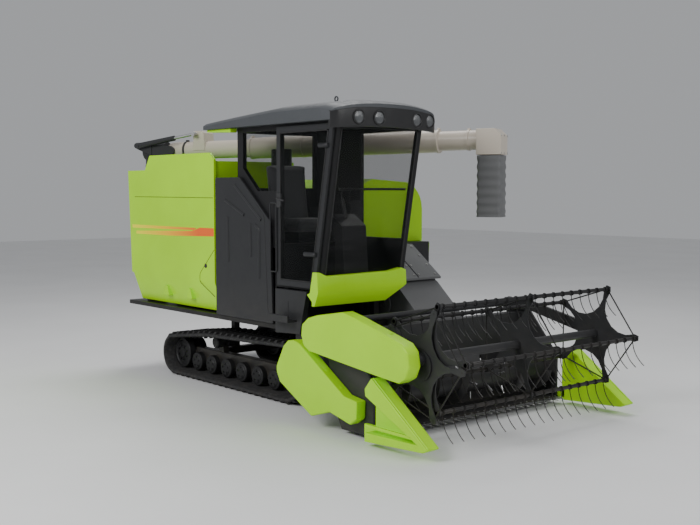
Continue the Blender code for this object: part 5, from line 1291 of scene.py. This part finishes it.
def add_chute():
    """Folded rubber sleeve under the spout, open all the way down, and the bolts that hold it."""
    sleeve = bmesh.new()
    rings = []
    down = list(range(CHUTE_STEPS + 1))
    for wall, steps in ((0.0, down), (0.010, down[::-1])):
        for step in steps:
            wave = 0.003 * math.sin(step * 0.9) - 0.003 if 2 < step < CHUTE_STEPS - 1 else -0.001
            z = CHUTE_TOP_Z - CHUTE_DROP * step / CHUTE_STEPS
            rings.append(chute_ring(sleeve, 0.118 + wave - wall, z))
    join_rings(sleeve, rings, loop=True)
    piece("chute_sleeve_body", to_pipe(sleeve), CHUTE, "pipe_lift",
          replaced=("pipe_chute",), angle=0.8)
    facing = Vector((math.cos(PIPE_HEADING), math.sin(PIPE_HEADING), 0.0))
    places = []
    for side in (-0.11, 0.0, 0.11):
        for z in (2.275, 2.44):
            place = Vector((PIPE_LENGTH + 0.12, side, z))
            place.rotate(Matrix.Rotation(PIPE_HEADING, 4, "Z"))
            places.append((place + Vector((*PIPE_POST, 0.0)), facing, UP))
    bolts_on("spout_bolts", places, "pipe_lift", 0.007, 0.006)


# ---------------------------------------------------------------- header
def add_flight(shape, start, end, hand):
    """One spiral flight on the auger's tube, a right or a left hand."""
    turns = abs(end - start) / FLIGHT_PITCH
    count = int(turns * 36)
    root, rim = AUGER_RADIUS - 0.003, FLIGHT_RADIUS
    rings = []
    for step in range(count + 1):
        angle = hand * 2 * math.pi * turns * step / count
        out = Vector((math.cos(angle), 0.0, math.sin(angle)))
        centre = Vector((AUGER[0], start + (end - start) * step / count, AUGER[1]))
        ring = []
        for radius, offset in ((root, -0.002), (rim, -0.0015), (rim, 0.0015), (root, 0.002)):
            ring.append(shape.verts.new(centre + out * radius + Vector((0.0, offset, 0.0))))
        rings.append(ring)
    join_rings(shape, rings)


def add_auger():
    """Tube with two opposed spiral flights and retracting fingers in the middle."""
    x, z = AUGER
    low, high = HEADER_LOW_Y + 0.02, HEADER_HIGH_Y - 0.02
    length = high - low
    rim = AUGER_RADIUS - 0.002
    shape = bmesh.new()
    add_turned(shape, (x, low, z), LEFT,
               [(0.0, 0.03), (0.0, rim), (0.002, AUGER_RADIUS), (length - 0.002, AUGER_RADIUS), (length, rim),
                (length, 0.03)], 48)
    add_rod(shape, (x, low - 0.036, z), (x, high + 0.036, z), 0.022, 20)
    add_flight(shape, low + 0.02, 0.02, 1)
    add_flight(shape, high - 0.02, 0.60, -1)
    piece("auger_body", shape, DARK, "auger", replaced=("header_auger",), angle=0.5)
    places = []
    for index in range(12):
        angle = index * 2.4
        facing = (math.cos(angle), 0.0, math.sin(angle))
        y = 0.06 + 0.5 * index / 11
        places.append(((x + 0.095 * facing[0], y, z + 0.095 * facing[2]), facing, LEFT))
    grow("auger_fingers", FINGERS, places, STEEL, "auger", "bare_steel", Root=0.009, Tip=0.006, Length=0.075)


def add_cutter():
    """Knife guards, knife sections and their bar along the header's front edge."""
    bar = bmesh.new()
    add_outline(bar, "Y", [(1.746, 0.055), (1.771, 0.057), (1.771, 0.072), (1.746, 0.075)],
                HEADER_LOW_Y, HEADER_HIGH_Y)
    piece("cutter_bar_body", bar, BLACK, "header", bevel=0.002, replaced=("cutter_bar",))
    width = (HEADER_HIGH_Y - HEADER_LOW_Y) / GUARD_COUNT
    back, root, tip = 1.764, 1.782, 1.832
    outline = [(back, HEADER_HIGH_Y - 0.004), (back, HEADER_LOW_Y + 0.004)]
    guards = []
    bolts = []
    for index in range(GUARD_COUNT):
        y = HEADER_LOW_Y + index * width
        middle = y + width / 2
        outline += [(root, y + 0.004), (tip, middle - 0.007), (tip, middle + 0.007),
                    (root, y + width - 0.004)]
        guards.append(((1.752, middle, 0.060), (0.9995, 0.0, 0.01), LEFT))
        bolts.append(((1.758, middle, 0.0745), UP, FORWARD))
    knife = add_outline(bmesh.new(), "Z", outline, 0.0665, 0.0690)
    piece("knife", knife, STEEL, "header")
    grow("knife_guards", FINGERS, guards, ZINC, "header", "bare_steel", Root=0.011, Tip=0.0025, Length=0.107)
    bolts_on("guard_bolts", bolts, "header", 0.006, 0.005)


def add_dividers():
    """Pointed dividers: inner sheet, folded ridge face, low skirt, and the bar across their recess."""
    for side, name in ((-1, "right"), (1, "left")):
        sheet = HEADER_LOW_Y - 0.0203 if side < 0 else HEADER_HIGH_Y + 0.0203
        outer = MIDDLE_Y + side * DIVIDER_OUT
        inner = sheet + side * 0.010
        body = bmesh.new()
        for outline, first, second in (
            ([(1.785, 0.036), (2.41, 0.071), (2.455, 0.095), (1.86, 0.525), (1.785, 0.44)],
             sheet, sheet + side * 0.016),
            ([(1.792, 0.385), (1.787, 0.44), (1.86, 0.53), (2.459, 0.096), (2.38, 0.105)], inner, outer),
            ([(1.785, 0.035), (2.41, 0.070), (2.460, 0.095), (2.36, 0.118), (1.785, 0.105)], inner, outer),
            ([(1.785, 0.145), (2.31, 0.145), (2.28, 0.168), (1.785, 0.172)], outer - side * 0.022, outer),
            ([(1.67, 0.06), (1.82, 0.06), (1.82, 0.14), (1.67, 0.14)], sheet, sheet + side * 0.030),
        ):
            add_outline(body, "Y", outline, min(first, second), max(first, second))
        piece("divider_" + name, body, LIME, "header", bevel=0.005,
              replaced=(name + "_divider",))
        y = outer - side * 0.022
        ridge = add_tube(bmesh.new(), [(1.862, y, 0.527), (2.452, y, 0.100)], 0.006, 12)
        piece("divider_ridge_" + name, ridge, LIME, "header")


def add_cover_bolts():
    """Fixing bolts along the top edge of each drive cover."""
    for name, y, spots, facing, body, radius in (
        ("upper_cover_bolts", -1.19, ((1.60, 0.978), (1.80, 0.930), (2.00, 0.878)), (0.20, 0.0, 0.98),
         "reel_arms", 0.013),
        ("lower_cover_bolts", -1.18, ((1.02, 0.629), (1.24, 0.495), (1.42, 0.385)), (0.53, 0.0, 0.85),
         "header", 0.012),
    ):
        bolts_on(name, [((x, y, z), facing, LEFT) for x, z in spots], body, radius, 0.006, LIME)


# ---------------------------------------------------------------- reel
def bat_place(index, shift=(0.0, 0.0)):
    """x and z of a bat round the reel's axis, or of its crank pin when given the cam star's shift."""
    x, z = round_spots(*REEL, REEL_RADIUS, BAT_COUNT)[index % BAT_COUNT]
    return x + shift[0], z + shift[1]


def add_bat_bar(index):
    """One bat: its tube, the crank at its right end and the crank's pin."""
    part = "reel_bat_%d" % (index + 1)
    x, z = bat_place(index)
    pin_x, pin_z = bat_place(index, CAM_SHIFT)
    length = BAT_END_Y - BAT_START_Y
    edge = BAT_RADIUS - 0.0005
    bar = bmesh.new()
    add_turned(bar, (x, BAT_START_Y, z), LEFT,
               [(0.0, 0.010), (0.0, edge), (0.001, BAT_RADIUS), (length - 0.001, BAT_RADIUS), (length, edge),
                (length, 0.010)], 20)
    heading = math.atan2(CAM_SHIFT[1], CAM_SHIFT[0])
    crank = arc_spots(x, z, 0.022, heading + math.pi / 2, math.pi, 8)
    crank += arc_spots(pin_x, pin_z, 0.016, heading - math.pi / 2, math.pi, 8)
    add_outline(bar, "Y", crank, BAT_START_Y, BAT_START_Y + 0.006)
    add_rod(bar, (pin_x, CAM_PIN_START_Y, pin_z), (pin_x, BAT_START_Y + 0.003, pin_z), 0.008, 16)
    piece("bat_bar_%d" % (index + 1), bar, BLACK, "bat_%d" % (index + 1), replaced=(part,),
          angle=0.5)


def add_bat_tines(index):
    """Spring tines along one bat, each with the clip that holds it."""
    x, z = bat_place(index)
    body = "bat_%d" % (index + 1)
    tines = []
    clips = []
    for count in range(TINE_COUNT):
        y = TINES_FROM_Y + count * (TINES_TO_Y - TINES_FROM_Y) / (TINE_COUNT - 1)
        tines.append(((x, y, z), UP, FORWARD))
        clips.append(((x + 0.004, y - 0.012, z - 0.014), (0.3, 0.0, -1.0), LEFT))
    grow("bat_tines_%d" % (index + 1), TINES, tines, BLACK, body, "bare_steel",
         Drop=0.213, Reach=0.113, Wire=0.0034, Coil=0.0195)
    bolts_on("bat_clips_%d" % (index + 1), clips, body, 0.007, 0.010, BLACK)


def add_chords(name, planes, shift, body, radius):
    """Rods from bat to bat that brace a star, in each of its planes."""
    chords = bmesh.new()
    for y in planes:
        for index in range(BAT_COUNT):
            x, z = bat_place(index, shift)
            next_x, next_z = bat_place(index + 1, shift)
            start = Vector((x, y, z))
            end = Vector((next_x, y, next_z))
            way = (end - start).normalized()
            add_rod(chords, start + way * 0.030, end - way * 0.030, radius, 10)
    piece(name, chords, BLACK, body)


def add_reel():
    """Bats with their tines, and the rods that brace the reel's stars and the cam star."""
    for index in range(BAT_COUNT):
        add_bat_bar(index)
        add_bat_tines(index)
    add_chords("reel_chords", (-1.026, 0.0, 1.012), (0.0, 0.0), "reel", 0.006)
    add_chords("cam_chords", (-1.055,), CAM_SHIFT, "cam_star", 0.0045)


# ---------------------------------------------------------------- putting it together
for side, mid_y in zip(("right", "left"), TRACK_Y):
    add_track(side, mid_y)
    add_rollers(side, mid_y)
add_drive()
add_side_ribs()
add_side_seams()
add_tank_latch()
add_gussets()
add_stripes()
add_entry_wall()
add_left_side()
add_feeder_dress()
add_door_fittings()
add_windshield_fittings()
add_roof_skin()
add_visor()
add_roof_lamps()
add_roof_edging()
add_pipe()
add_chute()
add_auger()
add_cutter()
add_dividers()
add_cover_bolts()
add_reel()
add_cushion("seat_cushion", "seat_cushion_cover")
add_cushion("seat_back", "seat_back_cover")

# Frame parts that the pieces above stand for; the rest are dressed, most with a fine broken edge.
REMADE = {"cab_roof", "track_right", "track_left", "rollers_right", "rollers_left", "drive_gearbox",
          "unloading_pipe", "pipe_chute", "right_divider", "left_divider", "header_auger", "cutter_bar",
          "seat_cushion", "seat_back"}
REMADE.update("reel_bat_%d" % (index + 1) for index in range(BAT_COUNT))
FINE_EDGE = 0.0022
EDGES = {
    "front_bumper": 0.010, "upper_drive_cover": 0.014, "lower_drive_cover": 0.012,
    "engine_side_panel": 0.006, "tank_side_panel": 0.008, "threshing_hood": 0.006, "left_side_cover": 0.008,
    "straw_hood": 0.005, "feeder_house": 0.006, "feeder_cover": 0.005, "seat_base": 0.008,
    "front_console": 0.012, "side_console": 0.012, "chassis_frame": 0.004, "air_cleaner": 0.005,
    "engine_block": 0.006, "pipe_spout": 0.010,
}
for node, source in sorted(frame["nodes"].items()):
    if node in REMADE:
        continue
    slot_name = slot_of(node)
    if slot_name == "cab_glass":
        source.data.materials[0] = GLASS
    else:
        dressed(node, SLOT_FINISH[slot_name], source["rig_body"], EDGES.get(node, FINE_EDGE))

# ---------------------------------------------------------------- floor, light and camera
def floor_finish():
    """Pale matt floor with slow, faint clouds."""
    ground = Finish("floor_matt")
    clouds = ground.remap(ground.noise(0.7, 4.0), 0.3, 0.7, 0.0, 1.0)
    return ground.set(Base_Color=ground.blend(clouds, (0.80, 0.80, 0.80), (0.84, 0.84, 0.84)), Roughness=0.85)


floor_shape = add_box(bmesh.new(), (-30.0, -30.0, -0.05), (30.0, 30.0, -0.0005))
floor = put_in_scene("studio_floor", as_mesh(floor_shape, "studio_floor"))
floor.data.materials.append(floor_finish())


def area_light(name, place, target, size, power):
    """A wide lamp turned towards its target."""
    light = bpy.data.lights.new(name, "AREA")
    light.shape = "RECTANGLE"
    light.size = size
    light.size_y = size * 0.8
    light.energy = power
    lamp = put_in_scene(name, light)
    lamp.location = place
    lamp.rotation_euler = (Vector(target) - Vector(place)).to_track_quat("-Z", "Y").to_euler()


area_light("key_light", (1.0, -9.0, 6.0), (0.0, 0.0, 1.0), 4.0, 540.0)
area_light("front_light", (9.0, 1.5, 5.0), (0.5, 0.0, 1.2), 4.0, 230.0)
area_light("top_light", (-2.5, 2.5, 8.5), (0.0, 0.0, 1.0), 5.0, 330.0)
world = bpy.data.worlds.new("studio")
world.use_nodes = True
sky = world.node_tree.nodes["Background"].inputs
sky["Color"].default_value = (0.95, 0.97, 1.0, 1.0)
sky["Strength"].default_value = 0.40
bpy.context.scene.world = world

eye = bpy.data.cameras.new("viewer")
eye.lens = 51.8
eye.sensor_width = 36.0
camera = put_in_scene("viewer", eye)
camera.location = (7.321, -6.169, 1.93)
camera.rotation_euler = (math.radians(85.9), 0.0, math.radians(49.8))
bpy.context.scene.camera = camera
